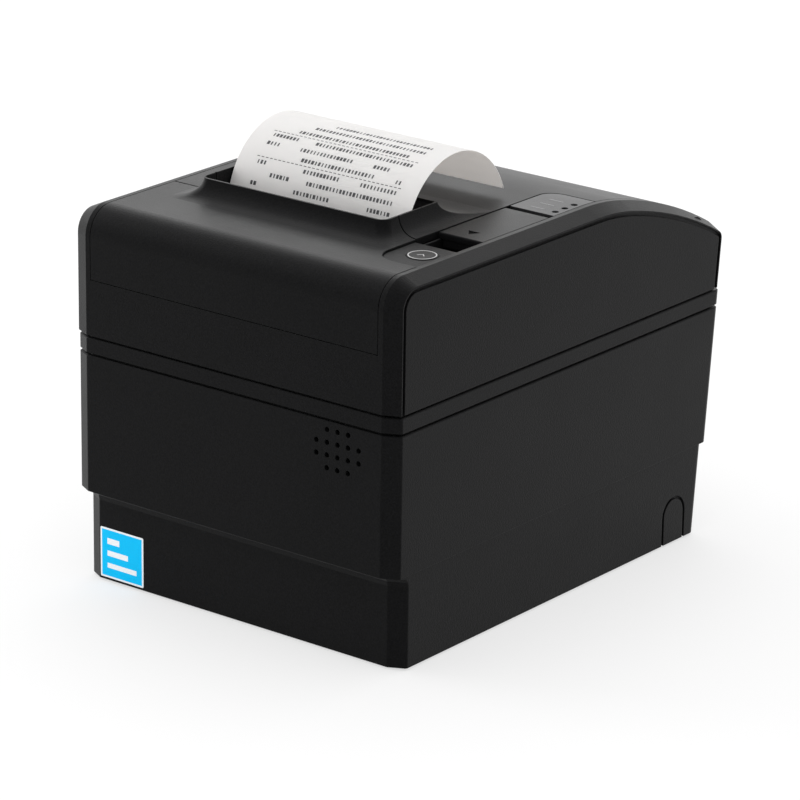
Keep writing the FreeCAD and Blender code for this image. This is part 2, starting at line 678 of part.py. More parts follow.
def make_release_lever():
    x0 = LID_RIGHT_X + GAP + 0.3
    x1 = RIM_INNER_X - GAP
    plate = box(x0, x1, LEVER_FRONT, LEVER_REAR, TOP_Z - LEVER_T, TOP_Z)
    long_edges = [e for e in plate.Edges if abs(e.BoundBox.ZMin - TOP_Z) < 1e-3 and e.BoundBox.XLength > 1]
    plate = plate.makeFillet(0.6, long_edges)
    arrow = slab_z([
        (ARROW_X, LEVER_FRONT + 4.2, 0),
        (ARROW_X - 2.5, LEVER_FRONT + 8.2, 0),
        (ARROW_X + 2.5, LEVER_FRONT + 8.2, 0),
    ], TOP_Z - 0.4, TOP_Z + 1)
    plate = plate.cut(arrow)
    inner0 = x0 + 1.6
    inner1 = x1 - 1.8
    web = box(inner0, inner1, LEVER_PIN_F - 3, LEVER_PIN_F + 3, LEVER_PIN_Z, TOP_Z - LEVER_T)
    barrel = rod_x(inner0, inner1, LEVER_PIN_F, LEVER_PIN_Z, 2.8)
    under_z = TOP_Z - LEVER_T
    front_lip = box(inner0, inner1, LEVER_FRONT + 0.4, LEVER_FRONT + 2.0, under_z - 3, under_z)
    tail = box(TAIL_X0, TAIL_X1, LEVER_PIN_F - 2, LEVER_PIN_F + 2, TAIL_LOW_Z, LEVER_PIN_Z)
    lever = joined([plate, web, barrel, front_lip, tail])
    return lever.cut(rod_x(inner0 - 1, inner1 + 1, LEVER_PIN_F, LEVER_PIN_Z, LEVER_PIN_R + FIT))


def make_lever_pin():
    return rod_x(LID_RIGHT_X + GAP, RIM_INNER_X - GAP, LEVER_PIN_F, LEVER_PIN_Z, LEVER_PIN_R)


def make_latch_hook():
    """Bell crank: the lever's tail pushes its tab forward and the nose lifts off the platen's bush."""
    x1 = HOOK_X0 + HOOK_T
    nose_f = PLATEN_F + BUSH_R + 1.6
    arm = slab_x([
        (nose_f, HOOK_Z + 1.5, 0.8),
        (nose_f, HOOK_Z - 3.0, 0.8),
        (nose_f + 2.0, HOOK_Z - 3.0, 0.4),
        (nose_f + 4.0, HOOK_Z - 1.5, 0.4),
        (HOOK_F, HOOK_Z - 3.0, 0),
        (TAB_F - 2.0, TAB_Z - 2.0, 1.0),
        (TAB_F + 2.0, TAB_Z + 0.5, 1.0),
        (HOOK_F + 2.5, HOOK_Z + 1.5, 0),
    ], HOOK_X0, x1)
    boss = rod_x(HOOK_X0, x1, HOOK_F, HOOK_Z, 3.2)
    tab = rod_x(x1 - 0.5, TAIL_X1, TAB_F, TAB_Z, 1.4)
    hook = joined([arm, boss, tab])
    return hook.cut(rod_x(HOOK_X0 - 1, x1 + 1, HOOK_F, HOOK_Z, HOOK_PIN_R + FIT))


def make_hook_pin():
    return rod_x(HOOK_X0 - 0.3 - FRAME_T, HOOK_X0 + HOOK_T, HOOK_F, HOOK_Z, HOOK_PIN_R)


def side_plate(x0):
    """Side plate of the print mechanism, with an open notch that takes the platen's bush."""
    plate = slab_x([
        (FRAME_FRONT, FRAME_FLOOR_Z, 0),
        (FRAME_REAR, FRAME_FLOOR_Z, 0),
        (FRAME_REAR, HOOK_Z + 6.0, 4.0),
        (PLATEN_F + 14.0, HOOK_Z + 6.0, 0),
        (PLATEN_F + 14.0, FRAME_TOP_Z, 3.0),
        (FRAME_FRONT, FRAME_TOP_Z, 3.0),
    ], x0, x0 + FRAME_T)
    radius = BUSH_R + 0.15
    mouth = slab_x([
        (PLATEN_F - radius, PLATEN_Z, 0),
        (PLATEN_F + radius, PLATEN_Z, 0),
        (PLATEN_F + radius + 6.0, FRAME_TOP_Z + 1, 0),
        (PLATEN_F - radius, FRAME_TOP_Z + 1, 0),
    ], x0 - 1, x0 + FRAME_T + 1)
    plate = plate.cut(mouth).cut(rod_x(x0 - 1, x0 + FRAME_T + 1, PLATEN_F, PLATEN_Z, radius))
    return plate.cut(rod_x(x0 - 1, x0 + FRAME_T + 1, HEAD_PIN_F, HEAD_PIN_Z, HEAD_PIN_R + FIT))


def make_print_frame():
    left = side_plate(LEFT_PLATE_X)
    left = left.cut(rod_x(LEFT_PLATE_X - 1, LEFT_PLATE_X + FRAME_T + 1, *IDLER_AT, STUD_R))
    left = left.cut(rod_x(LEFT_PLATE_X - 1, LEFT_PLATE_X + FRAME_T + 1, *PINION_AT, 6.0))
    right = side_plate(RIGHT_PLATE_X)
    right = right.cut(rod_x(RIGHT_PLATE_X - 1, RIGHT_PLATE_X + FRAME_T + 1, HOOK_F, HOOK_Z, HOOK_PIN_R))
    x0 = LEFT_PLATE_X
    x1 = RIGHT_PLATE_X + FRAME_T
    floor = box(x0, x1, FRAME_FRONT, FRAME_REAR, FRAME_FLOOR_Z - 2, FRAME_FLOOR_Z)
    legs = []
    for x in (x0, x1 - FRAME_LEG):
        for f in (FRAME_FRONT, FRAME_REAR - REAR_LEG_SETBACK):
            legs.append(box(x, x + FRAME_LEG, f, f + FRAME_LEG, FLOOR_Z, FRAME_FLOOR_Z - 1))
    return joined([left, right, floor] + legs)


def polar(origin, radius, degrees):
    angle = math.radians(degrees)
    return (origin[0] + radius * math.cos(angle), origin[1] + radius * math.sin(angle))


def pitch_r(teeth):
    return GEAR_MODULE * teeth / 2.0


IDLER_AT = polar((PLATEN_F, PLATEN_Z), pitch_r(PLATEN_TEETH) + pitch_r(IDLER_TEETH), IDLER_DEG)
PINION_AT = polar(IDLER_AT, pitch_r(IDLER_TEETH) + pitch_r(PINION_TEETH), PINION_DEG)


def gear_outline(teeth, phase_deg, place):
    """Involute spur gear outline, with one tooth centred on phase_deg and backlash taken off the flanks."""
    pressure = math.radians(20.0)
    pitch = pitch_r(teeth)
    base = pitch * math.cos(pressure)
    root = pitch - 1.2 * GEAR_MODULE
    tip = pitch + 0.9 * GEAR_MODULE
    half_tooth = (math.pi * GEAR_MODULE / 2.0 - BACKLASH) / 2.0 / pitch
    involute = math.tan(pressure) - pressure
    points = []
    for tooth in range(teeth):
        centre = math.radians(phase_deg) + 2 * math.pi * tooth / teeth
        flank = []
        for radius in (max(base, root), pitch, (pitch + tip) / 2.0, tip):
            roll = math.acos(min(1.0, base / radius))
            flank.append((radius, half_tooth + involute - (math.tan(roll) - roll)))
        flank.insert(0, (root, flank[0][1]))
        for radius, angle in flank:
            points.append(polar((0, 0), radius, math.degrees(centre - angle)))
        for radius, angle in reversed(flank):
            points.append(polar((0, 0), radius, math.degrees(centre + angle)))
    corners = [place(u, v) for u, v in points]
    return Part.makePolygon(corners + corners[:1])


def gear_x(teeth, at, phase_deg, x0, x1, bore):
    wire = gear_outline(teeth, phase_deg, lambda u, v: V(x0, at[0] + u, at[1] + v))
    gear = Part.Face(wire).extrude(X_AXIS * (x1 - x0))
    return gear.cut(rod_x(x0 - 1, x1 + 1, at[0], at[1], bore))


PLATEN_PHASE = IDLER_DEG
IDLER_PHASE = IDLER_DEG + 180.0 + 180.0 / IDLER_TEETH
IDLER_LEAD = (IDLER_PHASE - PINION_DEG) % (360.0 / IDLER_TEETH)
PINION_PHASE = PINION_DEG + 180.0 + 180.0 / PINION_TEETH - IDLER_LEAD * IDLER_TEETH / PINION_TEETH


def make_platen_gear():
    return gear_x(PLATEN_TEETH, (PLATEN_F, PLATEN_Z), PLATEN_PHASE, GEAR_X0, GEAR_X1, SHAFT_R)


def make_idler_gear():
    return gear_x(IDLER_TEETH, IDLER_AT, IDLER_PHASE, GEAR_X0, GEAR_X1, STUD_R + FIT)


def make_motor_pinion():
    gear = gear_x(PINION_TEETH, PINION_AT, PINION_PHASE, GEAR_X0, GEAR_X1, SHAFT_R - 1.0)
    shaft = rod_x(GEAR_X0, LEFT_PLATE_X + FRAME_T, *PINION_AT, SHAFT_R - 1.0)
    return joined([gear, shaft])


def make_idler_stud():
    stud = rod_x(GEAR_X0 - 0.2, LEFT_PLATE_X + FRAME_T, *IDLER_AT, STUD_R)
    return joined([stud, rod_x(GEAR_X0 - 1.2, GEAR_X0 - 0.2, *IDLER_AT, STUD_R + 1.2)])


def make_feed_motor():
    x0 = LEFT_PLATE_X + FRAME_T
    can = rod_x(x0 + FIT, x0 + MOTOR_L, *PINION_AT, MOTOR_R)
    return can.cut(rod_x(x0 - 1, x0 + 1, *PINION_AT, 5.0))


def make_platen_roller():
    return rod_x(PAPER_X - PAPER_W / 2, PAPER_X + PAPER_W / 2, PLATEN_F, PLATEN_Z, PLATEN_R).cut(
        rod_x(PAPER_X - PAPER_W, PAPER_X + PAPER_W, PLATEN_F, PLATEN_Z, SHAFT_R))


def make_platen_shaft():
    return rod_x(GEAR_X0, RIGHT_PLATE_X + FRAME_T + 2.0, PLATEN_F, PLATEN_Z, SHAFT_R)


def make_platen_bushes():
    left = (LEFT_PLATE_X - 0.8, CHEEKS[0] + CHEEK_T + 0.4)
    right = (CHEEKS[1] - 0.4, RIGHT_PLATE_X + FRAME_T + 0.2)
    bushes = []
    for x0, x1 in (left, right):
        bush = rod_x(x0, x1, PLATEN_F, PLATEN_Z, BUSH_R)
        bushes.append(bush.cut(rod_x(x0 - 1, x1 + 1, PLATEN_F, PLATEN_Z, SHAFT_R + FIT)))
    return Part.makeCompound(bushes)


def make_print_head():
    x0 = PAPER_X - PAPER_W / 2 + 0.5
    x1 = PAPER_X + PAPER_W / 2 - 0.5
    sink = box(x0, x1, HEAD_PIN_F - 1.0, HEAD_BACK - 0.8, HEAD_PIN_Z + 3, PLATEN_Z + 8)
    barrel = rod_x(x0, x1, HEAD_PIN_F, HEAD_PIN_Z, 4.0)
    for fin in range(5):
        z = HEAD_PIN_Z + 7 + 3.0 * fin
        sink = sink.cut(box(x0 - 1, x1 + 1, HEAD_PIN_F - 2, HEAD_PIN_F + 1.2, z, z + 1.4))
    head = joined([sink, barrel])
    return head.cut(rod_x(x0 - 1, x1 + 1, HEAD_PIN_F, HEAD_PIN_Z, HEAD_PIN_R + FIT))


def make_heater_strip():
    half = PAPER_W / 2 - 1.0
    return box(PAPER_X - half, PAPER_X + half, HEAD_BACK - 0.8, HEAD_BACK, PLATEN_Z - 6, PLATEN_Z + 7)


def make_head_pin():
    return rod_x(LEFT_PLATE_X, RIGHT_PLATE_X + FRAME_T, HEAD_PIN_F, HEAD_PIN_Z, HEAD_PIN_R)


def make_cutter_bed():
    x0 = LEFT_PLATE_X + FRAME_T
    bed = box(x0, RIGHT_PLATE_X, FRAME_FRONT, BLADE_EDGE - 1.0, BLADE_Z - 1.8, BLADE_Z - 0.2)
    return bed.cut(rod_z(CUTTER_X, CUTTER_F, BLADE_Z - 3, BLADE_Z, 3.0))


def make_cutter_blade():
    """Guillotine blade with a shallow V edge, and the rack that pushes it across the paper."""
    x0 = PAPER_X - PAPER_W / 2 + 0.5
    x1 = PAPER_X + PAPER_W / 2 - 0.5
    blade = slab_z([
        (x0, BLADE_FRONT, 0),
        (x1, BLADE_FRONT, 0),
        (x1, BLADE_EDGE, 0),
        (PAPER_X, BLADE_EDGE - 2.5, 0),
        (x0, BLADE_EDGE, 0),
    ], BLADE_Z, BLADE_Z + BLADE_T)
    rack_z = BLADE_Z + BLADE_T
    rack_x = RACK_X + 1.0
    rack = box(rack_x, rack_x + RACK_W, CUTTER_F - 13, BLADE_FRONT + 4, rack_z, rack_z + RACK_T)
    foot = box(rack_x, rack_x + RACK_W, BLADE_FRONT, BLADE_FRONT + 4, BLADE_Z, rack_z + RACK_T)
    pitch = math.pi * GEAR_MODULE
    slope = math.tan(math.radians(20.0))
    teeth = []
    for index in range(-5, 2):
        f = CUTTER_F + (index + 0.5) * pitch
        mid = (pitch / 2.0 - BACKLASH) / 2.0
        tip = mid - 0.9 * GEAR_MODULE * slope
        root = mid + 1.1 * slope
        teeth.append(slab_z([
            (RACK_X - 0.9 * GEAR_MODULE, f - tip, 0),
            (RACK_X - 0.9 * GEAR_MODULE, f + tip, 0),
            (RACK_X + 1.1, f + root, 0),
            (RACK_X + 1.1, f - root, 0),
        ], rack_z, rack_z + RACK_T))
    return joined([blade, rack, foot] + teeth)


def make_cutter_pinion():
    z0 = BLADE_Z + BLADE_T
    wire = gear_outline(CUTTER_TEETH, 0.0, lambda u, v: V(CUTTER_X + u, CUTTER_F + v, z0))
    gear = Part.Face(wire).extrude(Z_AXIS * RACK_T)
    return joined([gear, rod_z(CUTTER_X, CUTTER_F, BLADE_Z - 6, z0 + RACK_T, 1.5)])


def make_cutter_motor():
    top = BLADE_Z - 1.8
    can = rod_z(CUTTER_X, CUTTER_F, top - 28, top, 10.0)
    return can.cut(rod_z(CUTTER_X, CUTTER_F, top - 5, top + 1, 2.0))


def make_fixed_blade():
    half = PAPER_W / 2 + 0.2
    low_z = BLADE_Z + BLADE_T + 0.4
    return box(PAPER_X - half, PAPER_X + half, STRIP_F + 0.7, STRIP_F + 5.5, low_z, BLADE_Z + 2.4)


def make_paper_bin():
    x0 = PAPER_X - BIN_HALF - BIN_T
    x1 = PAPER_X + BIN_HALF + BIN_T
    reach = BIN_R + BIN_T
    outer = rod_x(x0, x1, BIN_F, BIN_Z, reach)
    outer = outer.fuse(box(x0, x1, BIN_F - reach, BIN_F + reach, BIN_Z, BIN_TOP_Z))
    inner = rod_x(x0 + BIN_T, x1 - BIN_T, BIN_F, BIN_Z, BIN_R)
    inner = inner.fuse(box(x0 + BIN_T, x1 - BIN_T, BIN_F - BIN_R, BIN_F + BIN_R, BIN_Z, BIN_TOP_Z + 1))
    tub = outer.cut(inner)
    tub = tub.cut(box(x0 - 1, x1 + 1, BIN_F - reach - 1, BIN_F + reach + 1, BIN_TOP_Z, TOP_Z))
    tub = tub.cut(box(x0 - 1, x1 + 1, BIN_F - reach - 1, BIN_F - BIN_R / 2, BIN_LIP_Z, BIN_TOP_Z + 1))
    leg_f = BIN_F - BIN_LEG_T / 2
    leg_top = BIN_Z - BIN_R - 0.5
    leg = box(PAPER_X - BIN_LEG_HALF, PAPER_X + BIN_LEG_HALF, leg_f, leg_f + BIN_LEG_T, FLOOR_Z, leg_top)
    return joined([tub, leg])


def make_paper_roll():
    half = PAPER_W / 2 - 0.25
    roll = rod_x(PAPER_X - half, PAPER_X + half, BIN_F, ROLL_Z, ROLL_R)
    return roll.cut(rod_x(PAPER_X - half - 1, PAPER_X + half + 1, BIN_F, ROLL_Z, CORE_R))


def make_roll_core():
    half = PAPER_W / 2 - 0.25
    core = rod_x(PAPER_X - half, PAPER_X + half, BIN_F, ROLL_Z, CORE_R)
    return core.cut(rod_x(PAPER_X - half - 1, PAPER_X + half + 1, BIN_F, ROLL_Z, CORE_BORE))


def ribbon(runs):
    """Strip of paper whose edge follows runs of (line or arc maker, points), given for both faces."""
    edges = []
    for points in runs:
        spots = [V(PAPER_X - PAPER_W / 2, f, z) for f, z in points]
        maker = Part.LineSegment if len(spots) == 2 else Part.Arc
        edges.append(maker(*spots).toShape())
    wire = Part.Wire(Part.__sortEdges__(edges))
    return Part.Face(wire).extrude(X_AXIS * PAPER_W)


def make_paper_web():
    """Paper on its way to the cutter: off the underside of the roll, round the platen and up."""
    wrap = PLATEN_F - STRIP_F
    roll = ROLL_R + GAP / 2 + PAPER_T / 2
    apart = math.hypot(BIN_F - PLATEN_F, ROLL_Z - PLATEN_Z)
    bearing = math.atan2(ROLL_Z - PLATEN_Z, BIN_F - PLATEN_F)
    tangent = math.degrees(bearing - math.acos((wrap - roll) / apart))
    runs = []
    ends = []
    for offset in (PAPER_T / 2, -PAPER_T / 2):
        on_roll = polar((BIN_F, ROLL_Z), roll + offset, tangent)
        angles = (tangent, (tangent - 180.0) / 2.0, -180.0)
        turn = [polar((PLATEN_F, PLATEN_Z), wrap + offset, angle) for angle in angles]
        top = (turn[2][0], WEB_TOP_Z)
        runs += [(on_roll, turn[0]), turn, (turn[2], top)]
        ends.append((on_roll, top))
    runs += [(ends[0][0], ends[1][0]), (ends[0][1], ends[1][1])]
    return ribbon(runs)


def make_receipt_slip():
    """Printed slip standing in the exit, curled back over the lid."""
    curl_at = (STRIP_F + STRIP_R, STRIP_TURN_Z)
    low_deg = 180.0 - math.degrees(math.asin((SLIP_LOW_Z - STRIP_TURN_Z) / STRIP_R))
    angles = (low_deg, (low_deg + STRIP_END_DEG) / 2.0, STRIP_END_DEG)
    outer = [polar(curl_at, STRIP_R + PAPER_T / 2, angle) for angle in angles]
    inner = [polar(curl_at, STRIP_R - PAPER_T / 2, angle) for angle in angles]
    return ribbon([outer, inner, (outer[0], inner[0]), (outer[2], inner[2])])


def make_main_board():
    board = box(-BOARD_HALF, BOARD_HALF, BOARD_FRONT, BAY_FRONT - 1, BOARD_Z, BOARD_Z + BOARD_T)
    for x, f in SCREW_SPOTS:
        board = board.cut(rod_z(x, f, BOARD_Z - 1, BOARD_Z + BOARD_T + 1, PILLAR_R + 1))
    chips = [box(x, x + w, f, f + d, BOARD_Z + 1, BOARD_Z + BOARD_T + h) for x, f, w, d, h in BOARD_CHIPS]
    cans = [rod_z(x, f, BOARD_Z + 1, BOARD_Z + BOARD_T + 14, 5.0) for x, f in BOARD_CANS]
    return joined([board] + chips + cans)


def make_socket(name):
    """Board connector: a block with its mating recess open to the rear."""
    x, width, height, recess_w, recess_h = SOCKETS[name]
    z0 = BOARD_Z + BOARD_T
    z_mid = z0 + height / 2
    block = box(x - width / 2, x + width / 2, BAY_FRONT + 1 - SOCKET_L, BAY_FRONT + 1, z0, z0 + height)
    depth = BAY_FRONT + 1 - SOCKET_DEPTH
    if name == "power_socket":
        block = block.cut(rod_y(x, depth, BAY_FRONT + 2, z_mid, recess_w / 2))
        places = ((-2, 1), (2, 1), (0, -2))
        pins = [rod_y(x + dx, depth - 1, BAY_FRONT - 4, z_mid + dz, 0.6) for dx, dz in places]
        return joined([block] + pins)
    block = block.cut(box(x - recess_w / 2, x + recess_w / 2, depth, BAY_FRONT + 2,
                          z_mid - recess_h / 2, z_mid + recess_h / 2))
    if name == "usb_socket":
        return block.fuse(box(x - 2.6, x + 2.6, depth - 1, BAY_FRONT - 4, z_mid - 1.5, z_mid + 1.5))
    return block


def make_interface_plate():
    low = FOOT_H + BASE_FLOOR
    plate = box(-BAY_HALF, BAY_HALF, BAY_FRONT - 0.8, BAY_FRONT, low, BASE_TOP_Z - 0.4)
    for x, width, height, *_ in SOCKETS.values():
        z0 = BOARD_Z + BOARD_T
        plate = plate.cut(box(x - width / 2 - GAP, x + width / 2 + GAP, BAY_FRONT - 2, BAY_FRONT + 1,
                              z0 - GAP - BOARD_T, z0 + height + GAP))
    return plate


def make_sounder():
    can = rod_y(GRILLE_X, INNER_INSET + FIT, INNER_INSET + 8.0, GRILLE_Z, 12.0)
    return can.cut(rod_y(GRILLE_X, INNER_INSET - 1, INNER_INSET + 2.0, GRILLE_Z, 10.5))


def make_feet():
    feet = []
    for x, f in FOOT_SPOTS:
        feet.append(rod_z(x, f, 0.0, FOOT_H, FOOT_R))
    return Part.makeCompound(feet)


def make_case_screws():
    screws = []
    for x, f in SCREW_SPOTS:
        head = rod_z(x, f, SCREW_HEAD_Z - 2.2, SCREW_HEAD_Z, SCREW_HEAD_R)
        screws.append(joined([head, rod_z(x, f, SCREW_HEAD_Z - 0.5, BOSS_TOP_Z - 3, SCREW_R)]))
    return Part.makeCompound(screws)


MAKERS = {
    "base_tray": make_base_tray,
    "lower_case": make_lower_case,
    "upper_case": make_upper_case,
    "front_cover": make_front_cover,
    "paper_lid": make_lid,
    "hinge_pins": make_hinge_pins,
    "control_deck": make_control_deck,
    "led_window": make_led_window,
    "light_pipes": make_light_pipes,
    "feed_button": make_feed_button,
    "control_board": make_control_board,
    "release_lever": make_release_lever,
    "lever_pin": make_lever_pin,
    "latch_hook": make_latch_hook,
    "hook_pin": make_hook_pin,
    "print_frame": make_print_frame,
    "platen_roller": make_platen_roller,
    "platen_shaft": make_platen_shaft,
    "platen_bushes": make_platen_bushes,
    "platen_gear": make_platen_gear,
    "idler_gear": make_idler_gear,
    "idler_stud": make_idler_stud,
    "motor_pinion": make_motor_pinion,
    "feed_motor": make_feed_motor,
    "print_head": make_print_head,
    "heater_strip": make_heater_strip,
    "head_pin": make_head_pin,
    "cutter_bed": make_cutter_bed,
    "cutter_blade": make_cutter_blade,
    "cutter_pinion": make_cutter_pinion,
    "cutter_motor": make_cutter_motor,
    "fixed_blade": make_fixed_blade,
    "paper_bin": make_paper_bin,
    "paper_roll": make_paper_roll,
    "roll_core": make_roll_core,
    "paper_web": make_paper_web,
    "receipt_slip": make_receipt_slip,
    "main_board": make_main_board,
    "interface_plate": make_interface_plate,
    "sounder": make_sounder,
    "rubber_feet": make_feet,
    "case_screws": make_case_screws,
}

for node, maker in MAKERS.items():
    save(node, maker())
for node in SOCKETS:
    save(node, make_socket(node))
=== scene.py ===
import json
import math

import bpy
from bpy.props import FloatProperty, FloatVectorProperty, IntProperty, PointerProperty
from mathutils import Matrix, Vector


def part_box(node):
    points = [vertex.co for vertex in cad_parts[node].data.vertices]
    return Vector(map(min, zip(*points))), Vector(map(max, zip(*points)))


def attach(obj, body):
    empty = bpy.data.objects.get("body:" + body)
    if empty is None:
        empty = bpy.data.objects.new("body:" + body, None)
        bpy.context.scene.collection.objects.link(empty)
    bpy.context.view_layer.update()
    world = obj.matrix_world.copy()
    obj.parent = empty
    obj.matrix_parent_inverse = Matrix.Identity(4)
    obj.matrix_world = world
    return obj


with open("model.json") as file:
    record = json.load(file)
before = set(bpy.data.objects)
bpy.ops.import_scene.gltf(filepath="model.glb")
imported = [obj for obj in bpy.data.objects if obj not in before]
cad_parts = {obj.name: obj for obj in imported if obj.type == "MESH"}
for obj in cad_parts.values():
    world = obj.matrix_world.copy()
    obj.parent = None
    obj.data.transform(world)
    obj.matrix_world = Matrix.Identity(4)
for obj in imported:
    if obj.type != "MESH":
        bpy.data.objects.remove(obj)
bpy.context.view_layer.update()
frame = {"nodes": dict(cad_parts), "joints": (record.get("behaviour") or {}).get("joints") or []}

bl_info = {
    "name": "Receipt printer looks",
    "version": (1, 0, 0),
    "blender": (4, 5, 0),
    "location": "View3D > Sidebar > Printer",
    "description": "Finishes, printed marks and stage of a desktop receipt printer",
    "category": "Object",
}

NODES = frame["nodes"]
JOINT_AT = {j["name"]: Vector(j["pos_m"]) for j in frame["joints"] if "pos_m" in j}
MM = 0.001

# Sockets of a colour mix node
MIX_FACTOR = 0
MIX_A = 6
MIX_B = 7
MIX_RESULT = 2

# Sockets of a random value node
RANDOM_MIN = 2
RANDOM_MAX = 3
RANDOM_SHARE = 6
RANDOM_ID = 7
RANDOM_SEED = 8
RANDOM_NUMBER = 1
RANDOM_CHOICE = 3

# Words of the printed rows: the shift from row to row, and more words than a row holds
ROW_SLIDE = 0.37
WORDS_PER_ROW = 97.0

# How sharply the sheen of moulded plastic grows towards low angles
SHEEN_RISE = 2.5

WHITE = (1.0, 1.0, 1.0, 1.0)

# Camera of the photograph, as an 800 by 800 image
CAMERA_AT = (0.93080, -1.19997, 0.58562)
CAMERA_AZIMUTH_DEG = 37.853
CAMERA_ELEVATION_DEG = 19.137
CAMERA_ROLL_DEG = 0.798
CAMERA_SENSOR_MM = 36.0
CAMERA_LENS_MM = 199.3


class CasingLook(bpy.types.PropertyGroup):
    """Moulded plastic of the casing."""

    colour: FloatVectorProperty(
        name="Plastic", description="Colour of the moulded casing", subtype="COLOR",
        size=3, min=0.0, max=1.0, default=(0.0042, 0.0042, 0.0044))
    roughness: FloatProperty(
        name="Roughness", description="Mean roughness of the casing", subtype="FACTOR",
        min=0.0, max=1.0, default=0.44)
    gloss: FloatProperty(
        name="Gloss", description="Specular level where the casing faces the eye", subtype="FACTOR",
        min=0.0, max=1.0, default=0.028)
    sheen: FloatProperty(
        name="Sheen", description="Specular level added at low angles", subtype="FACTOR",
        min=0.0, max=1.0, default=0.56)
    grain: FloatProperty(
        name="Grain", description="Width of one pebble of the moulded texture", unit="LENGTH",
        min=0.00005, max=0.005, default=0.00055)
    grain_depth: FloatProperty(
        name="Grain depth", description="Height of the moulded texture", unit="LENGTH",
        min=0.0, max=0.001, default=0.0001)
    edge: FloatProperty(
        name="Edge round", description="Radius that breaks the moulded edges", unit="LENGTH",
        min=0.0, max=0.003, default=0.00035)


class PaperLook(bpy.types.PropertyGroup):
    """Thermal paper and the rows printed on it."""

    colour: FloatVectorProperty(
        name="Paper", description="Colour of the thermal paper", subtype="COLOR",
        size=3, min=0.0, max=1.0, default=(0.95, 0.95, 0.95))
    ink: FloatVectorProperty(
        name="Print", description="Colour of the thermal print", subtype="COLOR",
        size=3, min=0.0, max=1.0, default=(0.03, 0.03, 0.033))
    rows: IntProperty(
        name="Rows", description="Rows of printed marks on the slip", min=1, max=40, default=9)
    row_pitch: FloatProperty(
        name="Row pitch", description="Distance between printed rows", unit="LENGTH",
        min=0.001, max=0.02, default=0.0040)
    mark_height: FloatProperty(
        name="Mark height", description="Height of one printed mark", unit="LENGTH",
        min=0.0002, max=0.01, default=0.0015)


class StageLook(bpy.types.PropertyGroup):
    """Floor, lamps and surroundings."""

    floor: FloatVectorProperty(
        name="Floor", description="Colour of the floor", subtype="COLOR",
        size=3, min=0.0, max=1.0, default=(0.88, 0.88, 0.88))
    ambient: FloatProperty(
        name="Ambient", description="Light that comes from all round", min=0.0, max=2.0, default=0.9)
    key_power: FloatProperty(
        name="Overhead lamp", description="Power of the soft lamp above", unit="POWER",
        min=0.0, max=500.0, default=22.0)
    fill_power: FloatProperty(
        name="Left lamp", description="Power of the soft lamp on the left", unit="POWER",
        min=0.0, max=500.0, default=9.0)
    back_power: FloatProperty(
        name="Back lamp", description="Power of the soft lamp behind, which the tops mirror",
        unit="POWER", min=0.0, max=500.0, default=3.2)


class PrinterLooks(bpy.types.PropertyGroup):
    """Everything about the printer's looks that a user would change."""

    casing: PointerProperty(type=CasingLook)
    paper: PointerProperty(type=PaperLook)
    stage: PointerProperty(type=StageLook)


def looks():
    return bpy.context.scene.printer_looks


def wire(tree, socket, value):
    """Feeds a socket from another socket, or sets it to a plain value."""
    if isinstance(value, bpy.types.NodeSocket):
        tree.links.new(value, socket)
    else:
        socket.default_value = value


def place(tree, kind, inputs=None, **settings):
    """Adds a node with its settings and its inputs, which are values or other nodes' sockets."""
    node = tree.nodes.new(kind)
    for name, value in settings.items():
        setattr(node, name, value)
    for key, value in (inputs or {}).items():
        wire(tree, node.inputs[key], value)
    return node


def maths(tree, operation, *values):
    return place(tree, "ShaderNodeMath", dict(enumerate(values)), operation=operation).outputs[0]


def vector_maths(tree, operation, *values):
    """Outputs of a vector sum: "Vector", or "Value" where the result is one number."""
    return place(tree, "ShaderNodeVectorMath", dict(enumerate(values)), operation=operation).outputs


def blended(tree, factor, first, second):
    """Colour between two colours."""
    inputs = {MIX_FACTOR: factor, MIX_A: first, MIX_B: second}
    return place(tree, "ShaderNodeMix", inputs, data_type="RGBA").outputs[MIX_RESULT]


def spread(tree, value, low, high):
    """Value from 0 to 1 spread over a range."""
    inputs = {"Value": value, "To Min": low, "To Max": high}
    return place(tree, "ShaderNodeMapRange", inputs).outputs[0]


def lighter(colour, times):
    """Opaque colour, lighter or darker than another by a factor."""
    return tuple(min(1.0, channel * times) for channel in colour[:3]) + (1.0,)


def varied(tree, share, colour, first, last):
    """Colour times a factor that goes from the first to the last as the share goes from 0 to 1."""
    return blended(tree, share, lighter(colour, first), lighter(colour, last))


def object_place(tree):
    return place(tree, "ShaderNodeTexCoord").outputs["Object"]


def shader_group(name, inputs, outputs):
    """Empty shader group with float inputs (name, default) and outputs (name, socket type)."""
    tree = bpy.data.node_groups.new(name, "ShaderNodeTree")
    for label, default in inputs:
        socket = tree.interface.new_socket(label, in_out="INPUT", socket_type="NodeSocketFloat")
        socket.default_value = default
    for label, kind in outputs:
        tree.interface.new_socket(label, in_out="OUTPUT", socket_type=kind)
    return tree, tree.nodes.new("NodeGroupInput").outputs, tree.nodes.new("NodeGroupOutput").inputs


